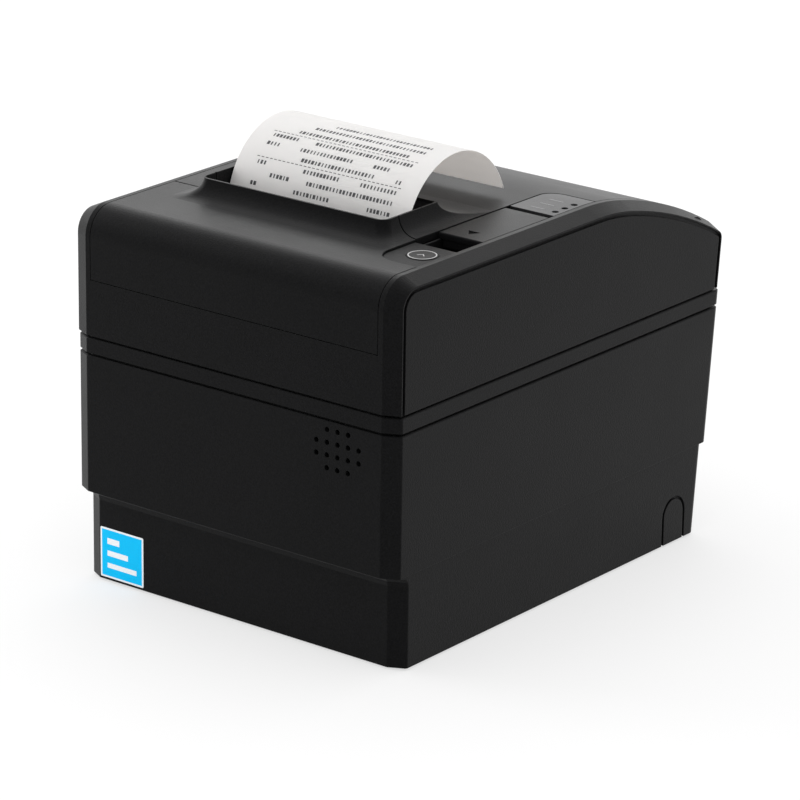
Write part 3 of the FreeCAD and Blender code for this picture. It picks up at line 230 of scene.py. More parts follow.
def mould_grain_group():
    """Spark-eroded mould texture: pebbles of the grain's width, and a slow drift of tone."""
    tree, given, result = shader_group(
        "Mould grain", [("Grain", 0.0004), ("Drift", 0.03)],
        [("Height", "NodeSocketFloat"), ("Tone", "NodeSocketFloat"), ("Fleck", "NodeSocketFloat")])
    at = object_place(tree)
    fine = maths(tree, "DIVIDE", 1.0, given["Grain"])
    slow = maths(tree, "DIVIDE", 1.0, given["Drift"])
    pebble = place(tree, "ShaderNodeTexNoise", {
        "Vector": at, "Scale": fine, "Detail": 1.5, "Roughness": 0.55}).outputs[0]
    drift = place(tree, "ShaderNodeTexNoise", {"Vector": at, "Scale": slow, "Detail": 3.0}).outputs[0]
    wire(tree, result["Height"], pebble)
    wire(tree, result["Tone"], drift)
    wire(tree, result["Fleck"], spread(tree, pebble, -0.6, 1.6))
    return tree


def broken_edge_group():
    """Edges broken by a small radius: the turned normal, and a mask of where it turns."""
    tree, given, result = shader_group(
        "Broken edge", [("Radius", 0.0005)],
        [("Normal", "NodeSocketVector"), ("Mask", "NodeSocketFloat")])
    turned = place(tree, "ShaderNodeBevel", {"Radius": given["Radius"]}, samples=6).outputs["Normal"]
    flat = place(tree, "ShaderNodeNewGeometry").outputs["Normal"]
    agree = vector_maths(tree, "DOT_PRODUCT", turned, flat)["Value"]
    turn = maths(tree, "SUBTRACT", 1.0, agree)
    mask = place(tree, "ShaderNodeClamp", {"Value": maths(tree, "MULTIPLY", turn, 3.0)}).outputs[0]
    wire(tree, result["Normal"], turned)
    wire(tree, result["Mask"], mask)
    return tree


def drawn_streak_group():
    """Streaks that rolling or drawing leaves in metal, along X."""
    tree, given, result = shader_group(
        "Drawn streak", [("Length", 0.04), ("Width", 0.0004)],
        [("Height", "NodeSocketFloat")])
    along = maths(tree, "DIVIDE", 1.0, given["Length"])
    across = maths(tree, "DIVIDE", 1.0, given["Width"])
    stretch = place(tree, "ShaderNodeCombineXYZ", {"X": along, "Y": across, "Z": across}).outputs[0]
    at = vector_maths(tree, "MULTIPLY", object_place(tree), stretch)["Vector"]
    streak = place(tree, "ShaderNodeTexNoise", {"Vector": at, "Scale": 1.0, "Detail": 4.0})
    wire(tree, result["Height"], streak.outputs[0])
    return tree


def use_group(tree, name, **inputs):
    makers = {"Mould grain": mould_grain_group, "Broken edge": broken_edge_group,
              "Drawn streak": drawn_streak_group}
    group = bpy.data.node_groups.get(name) or makers[name]()
    return place(tree, "ShaderNodeGroup", inputs, node_tree=group).outputs


def start_material(name):
    """New material with one Principled shader, and its node tree."""
    material = bpy.data.materials.new(name)
    material.use_nodes = True
    tree = material.node_tree
    tree.nodes.clear()
    shader = tree.nodes.new("ShaderNodeBsdfPrincipled")
    end = tree.nodes.new("ShaderNodeOutputMaterial")
    tree.links.new(shader.outputs[0], end.inputs["Surface"])
    return material, tree, shader.inputs


def relief(tree, height, depth, normal=None):
    """Normal of a bump of that depth, laid over another normal."""
    inputs = {"Height": height, "Distance": depth, "Strength": 1.0}
    if normal:
        inputs["Normal"] = normal
    return place(tree, "ShaderNodeBump", inputs).outputs[0]


def moulded_plastic(name, colour, roughness, grain, depth, edge, gloss, graze=0.0, shine=0.8):
    """Moulded plastic: pebble grain, drifting tone, edges that catch the light and are painted lighter
    (wear and painted highlight), sheen at low angles.
    """
    fleck_share = 0.3
    wear_and_highlight_share = 0.3
    roughness_drift = 0.06
    material, tree, shader = start_material(name)
    skin = use_group(tree, "Mould grain", Grain=grain)
    rim = use_group(tree, "Broken edge", Radius=edge)
    drifted = varied(tree, skin["Tone"], colour, 0.8, 1.25)
    fleck = maths(tree, "MULTIPLY", skin["Fleck"], fleck_share)
    flecked = blended(tree, fleck, drifted, lighter(colour, 4.5))
    # Edges painted lighter in colour: partly wear, partly a painted highlight where the edges catch the
    # light.
    edge_wear_and_highlight = maths(tree, "MULTIPLY", rim["Mask"], wear_and_highlight_share)
    worn = blended(tree, edge_wear_and_highlight, flecked, lighter(colour, 1.0 + shine))
    rough = spread(tree, skin["Tone"], roughness - roughness_drift, roughness + roughness_drift)
    turned = place(tree, "ShaderNodeLayerWeight", {"Blend": 0.5}).outputs["Facing"]
    sheen = maths(tree, "MULTIPLY_ADD", maths(tree, "POWER", turned, SHEEN_RISE), graze, gloss)
    wire(tree, shader["Base Color"], worn)
    wire(tree, shader["Roughness"], rough)
    wire(tree, shader["Normal"], relief(tree, skin["Height"], depth, rim["Normal"]))
    wire(tree, shader["Specular IOR Level"], sheen)
    return material


def drawn_metal(name, colour, roughness, edge=0.0003):
    """Sheet or bar metal with rolling streaks and broken edges."""
    material, tree, shader = start_material(name)
    streak = use_group(tree, "Drawn streak")["Height"]
    rim = use_group(tree, "Broken edge", Radius=edge)
    wire(tree, shader["Base Color"], varied(tree, streak, colour, 0.85, 1.1))
    wire(tree, shader["Roughness"], spread(tree, streak, roughness - 0.08, roughness + 0.1))
    wire(tree, shader["Normal"], relief(tree, streak, 0.01 * MM, rim["Normal"]))
    shader["Metallic"].default_value = 1.0
    return material


def thermal_paper(name, colour):
    """Coated paper: faint fibres, a slow drift of tone, and light that comes through from behind."""
    through_share = 0.46
    material, tree, shader = start_material(name)
    skin = use_group(tree, "Mould grain", Grain=0.0005, Drift=0.02)
    wire(tree, shader["Base Color"], varied(tree, skin["Tone"], colour, 0.97, 1.0))
    wire(tree, shader["Roughness"], spread(tree, skin["Tone"], 0.5, 0.62))
    wire(tree, shader["Normal"], relief(tree, skin["Height"], 0.004 * MM))
    shader["Specular IOR Level"].default_value = 0.25
    warm = (0.97, 0.94, 0.915, 1.0)
    through = place(tree, "ShaderNodeBsdfTranslucent", {"Color": warm}).outputs[0]
    front = tree.nodes["Principled BSDF"].outputs[0]
    sheet = place(tree, "ShaderNodeMixShader", {0: through_share, 1: front, 2: through}).outputs[0]
    wire(tree, tree.nodes["Material Output"].inputs["Surface"], sheet)
    return material


def wound_paper(name, colour):
    """Paper roll: its layers show as rings on the ends."""
    layer = 0.9 * MM
    material, tree, shader = start_material(name)
    out = vector_maths(tree, "SUBTRACT", object_place(tree), JOINT_AT["roll_spin"])["Vector"]
    flat = vector_maths(tree, "MULTIPLY", out, (0.0, 1.0, 1.0))["Vector"]
    radius = vector_maths(tree, "LENGTH", flat)["Value"]
    turns = maths(tree, "DIVIDE", radius, layer)
    ring = place(
        tree, "ShaderNodeTexNoise", {"W": turns, "Scale": 1.0, "Detail": 2.0},
        noise_dimensions="1D").outputs[0]
    facing = place(tree, "ShaderNodeNewGeometry").outputs["Normal"]
    sideways = place(tree, "ShaderNodeSeparateXYZ", {0: facing}).outputs["X"]
    end = maths(tree, "MULTIPLY", maths(tree, "ABSOLUTE", sideways), ring)
    wire(tree, shader["Base Color"], varied(tree, end, colour, 1.0, 0.55))
    wire(tree, shader["Roughness"], spread(tree, ring, 0.55, 0.75))
    wire(tree, shader["Normal"], relief(tree, end, 0.06 * MM))
    return material


def wound_card(name, colour):
    """Card core of the roll, coarse and uneven in tone."""
    material, tree, shader = start_material(name)
    skin = use_group(tree, "Mould grain", Grain=0.0011, Drift=0.01)
    wire(tree, shader["Base Color"], varied(tree, skin["Tone"], colour, 0.75, 1.15))
    wire(tree, shader["Roughness"], spread(tree, skin["Tone"], 0.75, 0.9))
    wire(tree, shader["Normal"], relief(tree, skin["Height"], 0.04 * MM))
    return material


def circuit_board(name, colour):
    """Solder mask over copper, with plated pads."""
    plating = (0.6, 0.58, 0.5, 1.0)
    pad_size = 0.16
    material, tree, shader = start_material(name)
    at = object_place(tree)
    track = place(tree, "ShaderNodeTexBrick", {
        "Vector": at, "Scale": 120.0, "Mortar Size": 0.03, "Color1": lighter(colour, 1.0),
        "Color2": lighter(colour, 1.3), "Mortar": lighter(colour, 2.0)})
    pad = place(tree, "ShaderNodeTexVoronoi", {"Vector": at, "Scale": 260.0, "Randomness": 0.4})
    is_pad = maths(tree, "LESS_THAN", pad.outputs["Distance"], pad_size)
    wire(tree, shader["Base Color"], blended(tree, is_pad, track.outputs["Color"], plating))
    wire(tree, shader["Roughness"], spread(tree, is_pad, 0.45, 0.25))
    wire(tree, shader["Normal"], relief(tree, track.outputs["Fac"], 0.03 * MM))
    return material


def printed_ink(name, colour):
    """Ink or thermal print: nearly even, a little worn."""
    material, tree, shader = start_material(name)
    skin = use_group(tree, "Mould grain", Grain=0.00025, Drift=0.004)
    wire(tree, shader["Base Color"], varied(tree, skin["Tone"], colour, 0.8, 1.2))
    wire(tree, shader["Roughness"], spread(tree, skin["Tone"], 0.45, 0.65))
    return material


def between(tree, value, low, high):
    """1 where a value lies between two limits."""
    above = maths(tree, "GREATER_THAN", value, low)
    return maths(tree, "MULTIPLY", above, maths(tree, "LESS_THAN", value, high))


def sticker_face(name, low, high):
    """Plain two-colour sticker: a pale border, a sky-blue field and pale bars that grow in length."""
    blue = (0.0, 0.56, 1.0, 1.0)
    pale = (0.96, 0.97, 0.98, 1.0)
    border = 0.7 * MM
    bars = ((0.2, 0.3), (0.44, 0.55), (0.68, 0.8))
    material, tree, shader = start_material(name)
    at = place(tree, "ShaderNodeSeparateXYZ", {0: object_place(tree)}).outputs
    field = maths(
        tree, "MULTIPLY",
        between(tree, at["X"], low.x + border, high.x - border),
        between(tree, at["Z"], low.z + border, high.z - border))
    width = high.x - low.x
    height = high.z - low.z
    left = low.x + width * 0.16
    marks = 0.0
    for index, (bottom, top) in enumerate(bars):
        reach = left + width * (0.68 - 0.2 * index)
        bar = maths(
            tree, "MULTIPLY", between(tree, at["X"], left, reach),
            between(tree, at["Z"], low.z + height * bottom, low.z + height * top))
        marks = maths(tree, "MAXIMUM", bar, marks)
    colour = blended(tree, field, pale, blended(tree, marks, blue, pale))
    skin = use_group(tree, "Mould grain", Grain=0.0006, Drift=0.01)
    faded = maths(tree, "MULTIPLY", skin["Tone"], 0.08)
    wire(tree, shader["Base Color"], blended(tree, faded, colour, blue))
    wire(tree, shader["Roughness"], spread(tree, skin["Tone"], 0.3, 0.4))
    shader["Specular IOR Level"].default_value = 0.1
    return material


def dress(material, *names):
    """Gives CAD nodes one material."""
    for name in names:
        data = NODES[name].data
        data.materials.clear()
        data.materials.append(material)


def new_piece(name, mesh, body, material=None):
    """Object of a finished mesh, at the origin, riding on a body."""
    piece = bpy.data.objects.new(name, mesh)
    bpy.context.scene.collection.objects.link(piece)
    if material:
        mesh.materials.append(material)
    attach(piece, body)
    return piece


def skinned_mesh(name, loops, ring):
    """Closed mesh through loops of points, joined end to end as a ring or closed by two caps."""
    count = len(loops[0])
    points = [point for loop in loops for point in loop]
    faces = []
    spans = len(loops) if ring else len(loops) - 1
    for span in range(spans):
        here = span * count
        there = (span + 1) % len(loops) * count
        for index in range(count):
            after = (index + 1) % count
            faces.append((here + index, here + after, there + after, there + index))
    if not ring:
        faces.append(tuple(range(count))[::-1])
        faces.append(tuple(range((len(loops) - 1) * count, len(loops) * count)))
    mesh = bpy.data.meshes.new(name)
    mesh.from_pydata(points, [], faces)
    mesh.update()
    return mesh


def flat_mark(name, outline, low_z, high_z):
    """Thin level plate of an outline that runs anticlockwise seen from above."""
    loops = [[(x, y, z) for x, y in outline] for z in (low_z, high_z)]
    return skinned_mesh(name, loops, False)


def flat_ring(name, centre, inner, outer, low_z, high_z, steps=96):
    """Thin level ring."""
    loops = []
    for step in range(steps):
        angle = 2 * math.pi * step / steps
        away = (math.cos(angle), math.sin(angle))
        section = ((inner, low_z), (inner, high_z), (outer, high_z), (outer, low_z))
        loops.append([(centre.x + away[0] * r, centre.y + away[1] * r, z) for r, z in section])
    return skinned_mesh(name, loops, True)


def rounded_outline(low, high, radius, steps=6):
    """Corners of a rectangle given by two opposite points (u, v), rounded, anticlockwise."""
    outline = []
    corners = ((high[0], high[1]), (low[0], high[1]), (low[0], low[1]), (high[0], low[1]))
    for corner, (u, v) in enumerate(corners):
        centre_u = u - radius if u == high[0] else u + radius
        centre_v = v - radius if v == high[1] else v + radius
        for step in range(steps + 1):
            angle = math.pi / 2 * (corner + step / steps)
            outline.append((centre_u + radius * math.cos(angle), centre_v + radius * math.sin(angle)))
    return outline


def shape_tree(name, inputs):
    """Empty geometry tree with inputs (name, socket type), and its input and output sockets."""
    tree = bpy.data.node_groups.new(name, "GeometryNodeTree")
    tree.interface.new_socket("Geometry", in_out="OUTPUT", socket_type="NodeSocketGeometry")
    for label, kind in inputs:
        tree.interface.new_socket(label, in_out="INPUT", socket_type=kind)
    return tree, tree.nodes.new("NodeGroupInput").outputs, tree.nodes.new("NodeGroupOutput").inputs


def end_tree(tree, geometry, finish, result):
    """Ends a tree in plain geometry with its material."""
    plain = place(tree, "GeometryNodeRealizeInstances", {"Geometry": geometry}).outputs[0]
    inputs = {"Geometry": plain, "Material": finish}
    wire(tree, result["Geometry"], place(tree, "GeometryNodeSetMaterial", inputs).outputs[0])


def point_parts(tree):
    """X, Y and Z of each point, at the stage of the tree where they are used."""
    position = place(tree, "GeometryNodeInputPosition").outputs[0]
    return place(tree, "ShaderNodeSeparateXYZ", {0: position}).outputs


def bar_row_tree():
    """Row of equal bars: printed dashes or plug contacts."""
    tree, given, result = shape_tree("Bar row", [
        ("Count", "NodeSocketInt"), ("Start", "NodeSocketVector"), ("Step", "NodeSocketVector"),
        ("Bar", "NodeSocketVector"), ("Finish", "NodeSocketMaterial")])
    spots = place(tree, "GeometryNodeMeshLine", {
        "Count": given["Count"], "Start Location": given["Start"], "Offset": given["Step"]},
        mode="OFFSET")
    bar = place(tree, "GeometryNodeMeshCube", {"Size": given["Bar"]})
    row = place(tree, "GeometryNodeInstanceOnPoints", {
        "Points": spots.outputs[0], "Instance": bar.outputs[0]})
    end_tree(tree, row.outputs[0], given["Finish"], result)
    return tree


def printed_rows_tree():
    """Rows of printed marks of uneven length, wrapped round the curl of the slip."""
    tree, given, result = shape_tree("Printed rows", [
        ("Columns", "NodeSocketInt"), ("Rows", "NodeSocketInt"), ("Width", "NodeSocketFloat"),
        ("Length", "NodeSocketFloat"), ("Mark", "NodeSocketVector"), ("Shortest", "NodeSocketFloat"),
        ("Word", "NodeSocketFloat"), ("Row Gap", "NodeSocketFloat"), ("Kept", "NodeSocketFloat"),
        ("Seed", "NodeSocketInt"), ("Curl Centre", "NodeSocketVector"),
        ("Curl Radius", "NodeSocketFloat"), ("Middle Angle", "NodeSocketFloat"),
        ("Finish", "NodeSocketMaterial")])
    grid = place(tree, "GeometryNodeMeshGrid", {
        "Size X": given["Width"], "Size Y": given["Length"],
        "Vertices X": given["Columns"], "Vertices Y": given["Rows"]})
    mark = place(tree, "GeometryNodeMeshCube", {"Size": given["Mark"], "Vertices Y": 4})
    spot = point_parts(tree)
    row = maths(tree, "ROUND", maths(tree, "DIVIDE", spot["Y"], given["Row Gap"]))
    slide = maths(tree, "MULTIPLY", row, ROW_SLIDE)
    words = maths(tree, "DIVIDE", spot["X"], given["Word"])
    word = maths(tree, "FLOOR", maths(tree, "ADD", words, slide))
    which = maths(tree, "MULTIPLY_ADD", row, WORDS_PER_ROW, word)
    kept = place(tree, "FunctionNodeRandomValue", {
        RANDOM_SHARE: given["Kept"], RANDOM_ID: which, RANDOM_SEED: given["Seed"]},
        data_type="BOOLEAN").outputs[RANDOM_CHOICE]
    long = place(tree, "FunctionNodeRandomValue", {
        RANDOM_MIN: given["Shortest"], RANDOM_MAX: 1.0, RANDOM_SEED: given["Seed"]},
        data_type="FLOAT").outputs[RANDOM_NUMBER]
    stretch = place(tree, "ShaderNodeCombineXYZ", {"X": long, "Y": 1.0, "Z": 1.0}).outputs[0]
    marks = place(tree, "GeometryNodeInstanceOnPoints", {
        "Points": grid.outputs[0], "Selection": kept, "Instance": mark.outputs[0], "Scale": stretch})
    plain = place(tree, "GeometryNodeRealizeInstances", {"Geometry": marks.outputs[0]}).outputs[0]
    at = point_parts(tree)
    centre = place(tree, "ShaderNodeSeparateXYZ", {0: given["Curl Centre"]}).outputs
    turn = maths(tree, "DIVIDE", at["Y"], given["Curl Radius"])
    angle = maths(tree, "SUBTRACT", given["Middle Angle"], turn)
    radius = maths(tree, "ADD", given["Curl Radius"], at["Z"])
    around = maths(tree, "MULTIPLY", radius, maths(tree, "COSINE", angle))
    above = maths(tree, "MULTIPLY", radius, maths(tree, "SINE", angle))
    bent = place(tree, "ShaderNodeCombineXYZ", {
        "X": maths(tree, "ADD", at["X"], centre["X"]),
        "Y": maths(tree, "ADD", around, centre["Y"]),
        "Z": maths(tree, "ADD", above, centre["Z"])}).outputs[0]
    curled = place(tree, "GeometryNodeSetPosition", {"Geometry": plain, "Position": bent}).outputs[0]
    end_tree(tree, curled, given["Finish"], result)
    return tree


def grown_piece(name, maker, body, **values):
    """Piece grown by a geometry tree, turned into a plain mesh that rides on a body."""
    tree = maker()
    seed = bpy.data.objects.new(name, bpy.data.meshes.new(name + "_seed"))
    bpy.context.scene.collection.objects.link(seed)
    growth = seed.modifiers.new("Growth", "NODES")
    growth.node_group = tree
    for item in tree.interface.items_tree:
        label = item.name.replace(" ", "_")
        if item.in_out == "INPUT" and label in values:
            growth[item.identifier] = values[label]
    bpy.context.view_layer.update()
    grown = seed.evaluated_get(bpy.context.evaluated_depsgraph_get())
    mesh = bpy.data.meshes.new_from_object(grown)
    if not mesh.polygons:
        raise RuntimeError(f"{name} grew no faces")
    seed.modifiers.remove(growth)
    seed.data = mesh
    mesh.name = name
    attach(seed, body)
    return seed


def middle(node):
    low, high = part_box(node)
    return (low + high) / 2


class PRINTER_OT_dress_casing(bpy.types.Operator):
    """Finish the moulded casing, its controls and its feet"""

    bl_idname = "printer.dress_casing"
    bl_label = "Dress casing"

    def execute(self, context):
        look = looks().casing
        colour = tuple(look.colour)
        finish = {
            "grain": look.grain, "depth": look.grain_depth, "edge": look.edge,
            "gloss": look.gloss, "graze": look.sheen}
        fine = dict(
            finish, grain=look.grain * 0.7, depth=look.grain_depth * 0.5, gloss=look.gloss * 2)
        case = moulded_plastic("case_plastic", colour, look.roughness, **finish)
        dress(case, "base_tray", "lower_case", "upper_case", "front_cover", "paper_lid",
              "release_lever")
        inner = moulded_plastic("inner_case_plastic", colour, look.roughness + 0.08, **finish)
        dress(inner, "control_deck", "paper_bin")
        button = moulded_plastic("button_plastic", lighter(colour, 1.6), 0.42, **fine)
        dress(button, "feed_button")
        window = moulded_plastic("window_plastic", lighter(colour, 5.0), 0.36, **fine)
        dress(window, "led_window")
        pipe = moulded_plastic(
            "pipe_plastic", (0.002, 0.0021, 0.002), 0.2,
            grain=0.8 * MM, depth=0.004 * MM, edge=0.2 * MM, gloss=0.02)
        dress(pipe, "light_pipes")
        feet = moulded_plastic(
            "foot_rubber", (0.012, 0.012, 0.012), 0.8,
            grain=0.5 * MM, depth=0.05 * MM, edge=0.6 * MM, gloss=0.08)
        dress(feet, "rubber_feet")
        return {"FINISHED"}


class PRINTER_OT_dress_mechanism(bpy.types.Operator):
    """Finish the print mechanism, the sockets and the boards"""

    bl_idname = "printer.dress_mechanism"
    bl_label = "Dress mechanism"

    def execute(self, context):
        steel = drawn_metal("zinc_steel", (0.52, 0.52, 0.53), 0.38)
        dress(steel, "print_frame", "cutter_bed", "interface_plate", "feed_motor", "cutter_motor",
              "case_screws")
        bright = drawn_metal("ground_steel", (0.62, 0.62, 0.63), 0.24)
        dress(bright, "hinge_pins", "lever_pin", "hook_pin", "platen_shaft", "idler_stud", "head_pin",
              "cutter_blade", "fixed_blade")
        dress(drawn_metal("extruded_aluminium", (0.7, 0.7, 0.71), 0.34), "print_head")
        glaze = moulded_plastic(
            "glazed_ceramic", (0.3, 0.2, 0.12), 0.18,
            grain=0.9 * MM, depth=0.003 * MM, edge=0.2 * MM, gloss=0.5)
        dress(glaze, "heater_strip")
        acetal = moulded_plastic(
            "acetal", (0.62, 0.6, 0.54), 0.42,
            grain=0.7 * MM, depth=0.012 * MM, edge=0.2 * MM, gloss=0.4, shine=0.2)
        dress(acetal, "platen_gear", "idler_gear", "motor_pinion", "cutter_pinion", "platen_bushes",
              "latch_hook")
        rubber = moulded_plastic(
            "platen_rubber", (0.022, 0.022, 0.023), 0.72,
            grain=0.4 * MM, depth=0.03 * MM, edge=0.3 * MM, gloss=0.15)
        dress(rubber, "platen_roller")
        socket = moulded_plastic(
            "socket_plastic", (0.016, 0.016, 0.017), 0.44,
            grain=0.4 * MM, depth=0.02 * MM, edge=0.3 * MM, gloss=0.35)
        dress(socket, "power_socket", "drawer_socket", "usb_socket", "network_socket", "sounder")
        dress(circuit_board("solder_mask", (0.012, 0.11, 0.045)), "main_board", "control_board")
        return {"FINISHED"}


class PRINTER_OT_dress_paper(bpy.types.Operator):
    """Finish the paper roll, its core, the web and the slip"""

    bl_idname = "printer.dress_paper"
    bl_label = "Dress paper"

    def execute(self, context):
        colour = tuple(looks().paper.colour)
        dress(thermal_paper("thermal_paper", colour), "paper_web", "receipt_slip")
        dress(wound_paper("wound_paper", colour), "paper_roll")
        dress(wound_card("card_core", (0.36, 0.24, 0.14)), "roll_core")
        return {"FINISHED"}


class PRINTER_OT_print_slip(bpy.types.Operator):
    """Print plain rows of marks and dashed rules on the slip"""

    bl_idname = "printer.print_slip"
    bl_label = "Print slip"

    def execute(self, context):
        look = looks().paper
        paper_half = 0.1 * MM
        ink_lift = 0.02 * MM
        turn_z = 133.5 * MM
        middle_deg = 127.0
        low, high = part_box("receipt_slip")
        outer = high.z - turn_z
        centre = Vector(((low.x + high.x) / 2, low.y + outer, turn_z))
        wrap = outer + ink_lift - paper_half / 2
        ink = printed_ink("thermal_print", tuple(look.ink))
        shared = {
            "Curl_Centre": centre, "Curl_Radius": wrap, "Middle_Angle": math.radians(middle_deg),
            "Row_Gap": look.row_pitch, "Finish": ink}
        cell = 1.5 * MM
        columns = 42
        grown_piece(
            "slip_marks", printed_rows_tree, "lid", Columns=columns, Rows=look.rows,
            Width=cell * (columns - 1), Length=look.row_pitch * (look.rows - 1),
            Mark=(cell * 0.78, look.mark_height, paper_half), Shortest=0.4, Word=cell * 5.5,
            Kept=0.6, Seed=7, **shared)
        dash = 1.2 * MM
        dashes = 34
        grown_piece(
            "slip_rules", printed_rows_tree, "lid", Columns=dashes, Rows=2,
            Width=dash * 1.6 * (dashes - 1), Length=look.row_pitch * 3,
            Mark=(dash, 0.28 * MM, paper_half), Shortest=0.95, Word=cell, Kept=1.0, Seed=3, **shared)
        return {"FINISHED"}


class PRINTER_OT_mark_button(bpy.types.Operator):
    """Print a ring and a plain feed chevron on the button"""

    bl_idname = "printer.mark_button"
    bl_label = "Mark button"

    def execute(self, context):
        centre = middle("feed_button")
        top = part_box("feed_button")[1].z
        ink = printed_ink("pale_ink", (0.5, 0.5, 0.5))
        sunk = top - 0.02 * MM
        proud = top + 0.03 * MM
        ring_inner = 4.66 * MM
        ring_outer = 5.06 * MM
        ring = flat_ring("button_ring", centre, ring_inner, ring_outer, sunk, proud)
        new_piece("button_ring", ring, "button", ink)
        reach = 1.5 * MM
        stroke = 0.5 * MM
        outline = [
            (0, reach / 2), (-reach, -reach / 2), (-reach, -reach / 2 - stroke),
            (0, reach / 2 - stroke), (reach, -reach / 2 - stroke), (reach, -reach / 2)]
        points = [(centre.x + u, centre.y + v) for u, v in outline]
        chevron = flat_mark("button_chevron", points, sunk, proud)
        new_piece("button_chevron", chevron, "button", ink)
        return {"FINISHED"}


class PRINTER_OT_mark_window(bpy.types.Operator):
    """Print a plain dash beside each status light"""

    bl_idname = "printer.mark_window"
    bl_label = "Mark window"

    def execute(self, context):
        low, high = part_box("light_pipes")
        radius = (high.x - low.x) / 2
        pitch = (high.y - low.y - 2 * radius) / 2
        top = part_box("led_window")[1].z
        dash = (6.0 * MM, 0.7 * MM, 0.08 * MM)
        start = (low.x - 6.5 * MM, low.y + radius, top)
        grown_piece(
            "window_dashes", bar_row_tree, "casing", Count=3, Start=start, Step=(0.0, pitch, 0.0),
            Bar=dash, Finish=printed_ink("window_ink", (0.2, 0.2, 0.2)))
        return {"FINISHED"}


class PRINTER_OT_fill_arrow(bpy.types.Operator):
    """Fill the lever's recessed triangle with a gloss black sheet: painted shade in the recess"""

    bl_idname = "printer.fill_arrow"
    bl_label = "Fill arrow"

    def execute(self, context):
        low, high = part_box("release_lever")
        tip = low.y + 4.5 * MM
        tail = low.y + 8.1 * MM
        x = middle("release_lever").x - 0.25 * MM
        half = 2.1 * MM
        outline = [(x, tip), (x + half, tail), (x - half, tail)]
        mesh = flat_mark("lever_arrow", outline, high.z - 0.42 * MM, high.z - 0.3 * MM)
        # Near-black sheet on the recess floor: painted shade in the lever's recess.
        black = moulded_plastic(
            "arrow_paint", (0.001, 0.001, 0.001), 0.4,
            grain=0.5 * MM, depth=0.003 * MM, edge=0.1 * MM, gloss=0.01)
        new_piece("lever_arrow", mesh, "lever", black)
        return {"FINISHED"}


class PRINTER_OT_stick_label(bpy.types.Operator):
    """Stick a plain two-colour sticker on the front of the base"""

    bl_idname = "printer.stick_label"
    bl_label = "Stick label"

    def execute(self, context):
        front_step = 4.6 * MM
        front_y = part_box("base_tray")[0].y + front_step
        thick = 0.12 * MM
        low = Vector((-65.3 * MM, front_y - thick, 1.7 * MM))
        high = Vector((-45.0 * MM, front_y + thick, 20.7 * MM))
        outline = rounded_outline((low.x, low.z), (high.x, high.z), 0.5 * MM)
        loops = [[(x, y, z) for x, z in outline] for y in (high.y, low.y)]
        mesh = skinned_mesh("base_sticker", loops, False)
        new_piece("base_sticker", mesh, "casing", sticker_face("sticker_print", low, high))
        return {"FINISHED"}


class PRINTER_OT_add_contacts(bpy.types.Operator):
    """Add the sprung contacts inside the network and drawer sockets"""

    bl_idname = "printer.add_contacts"
    bl_label = "Add contacts"

    def execute(self, context):
        gold = drawn_metal("gold_plate", (0.8, 0.55, 0.2), 0.25, 0.0001)
        pitch = 1.02 * MM
        reach = 6.0 * MM
        contact = (0.42 * MM, reach, 0.5 * MM)
        roofs = {"network_socket": (8, 2.5 * MM), "drawer_socket": (6, 2.9 * MM)}
        for node, (count, roof) in roofs.items():
            low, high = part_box(node)
            first_x = (low.x + high.x) / 2 - pitch * (count - 1) / 2
            start = (first_x, high.y - reach, high.z - roof - 0.2 * MM)
            grown_piece(
                node + "_contacts", bar_row_tree, "casing", Count=count, Start=start,
                Step=(pitch, 0.0, 0.0), Bar=contact, Finish=gold)
        return {"FINISHED"}


def seen_share(tree):
    """1 for rays that show the surroundings, straight to the camera or by a mirror or glass."""
    path = place(tree, "ShaderNodeLightPath").outputs
    mirrored = maths(tree, "MAXIMUM", path["Is Glossy Ray"], path["Is Transmission Ray"])
    return maths(tree, "MAXIMUM", path["Is Camera Ray"], mirrored)


def floor_material(colour):
    """Pale floor that looks white where nothing shades it."""
    white_share = 0.6
    material, tree, shader = start_material("pale_floor")
    grain = use_group(tree, "Mould grain", Grain=0.004, Drift=0.5)
    wire(tree, shader["Base Color"], varied(tree, grain["Tone"], colour, 0.98, 1.0))
    shader["Roughness"].default_value = 0.9
    shader["Specular IOR Level"].default_value = 0.0
    white = place(tree, "ShaderNodeEmission", {"Color": WHITE, "Strength": 1.0}).outputs[0]
    factor = maths(tree, "MULTIPLY", seen_share(tree), white_share)
    lit = tree.nodes["Principled BSDF"].outputs[0]
    both = place(tree, "ShaderNodeMixShader", {0: factor, 1: lit, 2: white})
    wire(tree, tree.nodes["Material Output"].inputs["Surface"], both.outputs[0])
    return material


def soft_lamp(name, at, aim, width, height, power):
    """Soft rectangular lamp that points at a spot."""
    data = bpy.data.lights.new(name, "AREA")
    data.shape = "RECTANGLE"
    data.size = width
    data.size_y = height
    data.energy = power
    lamp = bpy.data.objects.new(name, data)
    lamp.location = at
    lamp.rotation_euler = (Vector(aim) - Vector(at)).to_track_quat("-Z", "Y").to_euler()
    lamp.visible_camera = False
    bpy.context.scene.collection.objects.link(lamp)


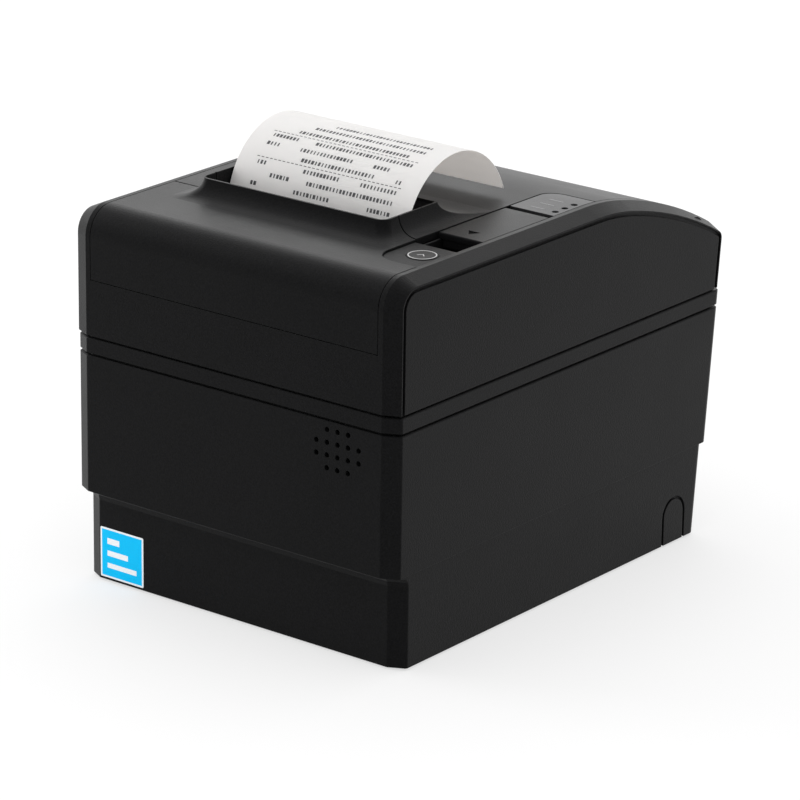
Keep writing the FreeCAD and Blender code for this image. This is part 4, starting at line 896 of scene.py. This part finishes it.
class PRINTER_OT_set_stage(bpy.types.Operator):
    """Lay the floor, set the lamps and place the camera"""

    bl_idname = "printer.set_stage"
    bl_label = "Set stage"

    def execute(self, context):
        look = looks().stage
        scene = context.scene
        scene.view_settings.view_transform = "Standard"
        self.lay_floor(scene, tuple(look.floor))
        self.light_world(scene, look.ambient)
        aim = (0.0, 0.0, 0.07)
        soft_lamp("overhead_lamp", (-0.3, 0.5, 2.3), aim, 2.2, 2.2, look.key_power)
        soft_lamp("left_lamp", (-1.7, -0.5, 0.9), aim, 1.0, 1.2, look.fill_power)
        soft_lamp("back_lamp", (-1.1, 1.4, 1.0), aim, 1.2, 0.6, look.back_power)
        self.place_camera(scene)
        return {"FINISHED"}

    def lay_floor(self, scene, colour):
        half = 4.0
        mesh = bpy.data.meshes.new("floor")
        corners = [(-half, -half, 0), (half, -half, 0), (half, half, 0), (-half, half, 0)]
        mesh.from_pydata(corners, [], [(0, 1, 2, 3)])
        mesh.materials.append(floor_material(colour))
        floor = bpy.data.objects.new("floor", mesh)
        scene.collection.objects.link(floor)

    def light_world(self, scene, ambient):
        world = bpy.data.worlds.new("studio")
        scene.world = world
        world.use_nodes = True
        tree = world.node_tree
        tree.nodes.clear()
        strength = spread(tree, seen_share(tree), ambient, 1.0)
        sky = place(tree, "ShaderNodeBackground", {"Color": WHITE, "Strength": strength})
        end = place(tree, "ShaderNodeOutputWorld")
        tree.links.new(sky.outputs[0], end.inputs["Surface"])

    def place_camera(self, scene):
        azimuth = math.radians(CAMERA_AZIMUTH_DEG)
        elevation = math.radians(CAMERA_ELEVATION_DEG)
        roll = math.radians(CAMERA_ROLL_DEG)
        level = math.cos(elevation)
        back = Vector((math.sin(azimuth) * level, -math.cos(azimuth) * level, math.sin(elevation)))
        right = Vector((0, 0, 1)).cross(back).normalized()
        up = back.cross(right)
        turned_right = right * math.cos(roll) + up * math.sin(roll)
        turned_up = up * math.cos(roll) - right * math.sin(roll)
        data = bpy.data.cameras.new("camera")
        data.sensor_width = CAMERA_SENSOR_MM
        data.lens = CAMERA_LENS_MM
        data.clip_start = 0.05
        camera = bpy.data.objects.new("camera", data)
        axes = Matrix((turned_right, turned_up, back)).transposed()
        camera.matrix_world = Matrix.Translation(CAMERA_AT) @ axes.to_4x4()
        scene.collection.objects.link(camera)
        scene.camera = camera


OPERATORS = (
    PRINTER_OT_dress_casing,
    PRINTER_OT_dress_mechanism,
    PRINTER_OT_dress_paper,
    PRINTER_OT_print_slip,
    PRINTER_OT_mark_button,
    PRINTER_OT_mark_window,
    PRINTER_OT_fill_arrow,
    PRINTER_OT_stick_label,
    PRINTER_OT_add_contacts,
    PRINTER_OT_set_stage,
)


class PRINTER_PT_looks(bpy.types.Panel):
    """Sidebar panel with the printer's sizes, colours and steps"""

    bl_idname = "PRINTER_PT_looks"
    bl_label = "Receipt printer"
    bl_space_type = "VIEW_3D"
    bl_region_type = "UI"
    bl_category = "Printer"

    def draw(self, context):
        groups = context.scene.printer_looks
        for group in (groups.casing, groups.paper, groups.stage):
            box = self.layout.box()
            for name in group.__annotations__:
                box.prop(group, name)
        for operator in OPERATORS:
            self.layout.operator(operator.bl_idname)


CLASSES = (CasingLook, PaperLook, StageLook, PrinterLooks) + OPERATORS + (PRINTER_PT_looks,)


def register():
    for item in CLASSES:
        bpy.utils.register_class(item)
    bpy.types.Scene.printer_looks = PointerProperty(type=PrinterLooks)


def unregister():
    del bpy.types.Scene.printer_looks
    for item in reversed(CLASSES):
        bpy.utils.unregister_class(item)


def main():
    register()
    for operator in OPERATORS:
        category, step = operator.bl_idname.split(".")
        getattr(getattr(bpy.ops, category), step)()


if __name__ == "__main__":
    main()
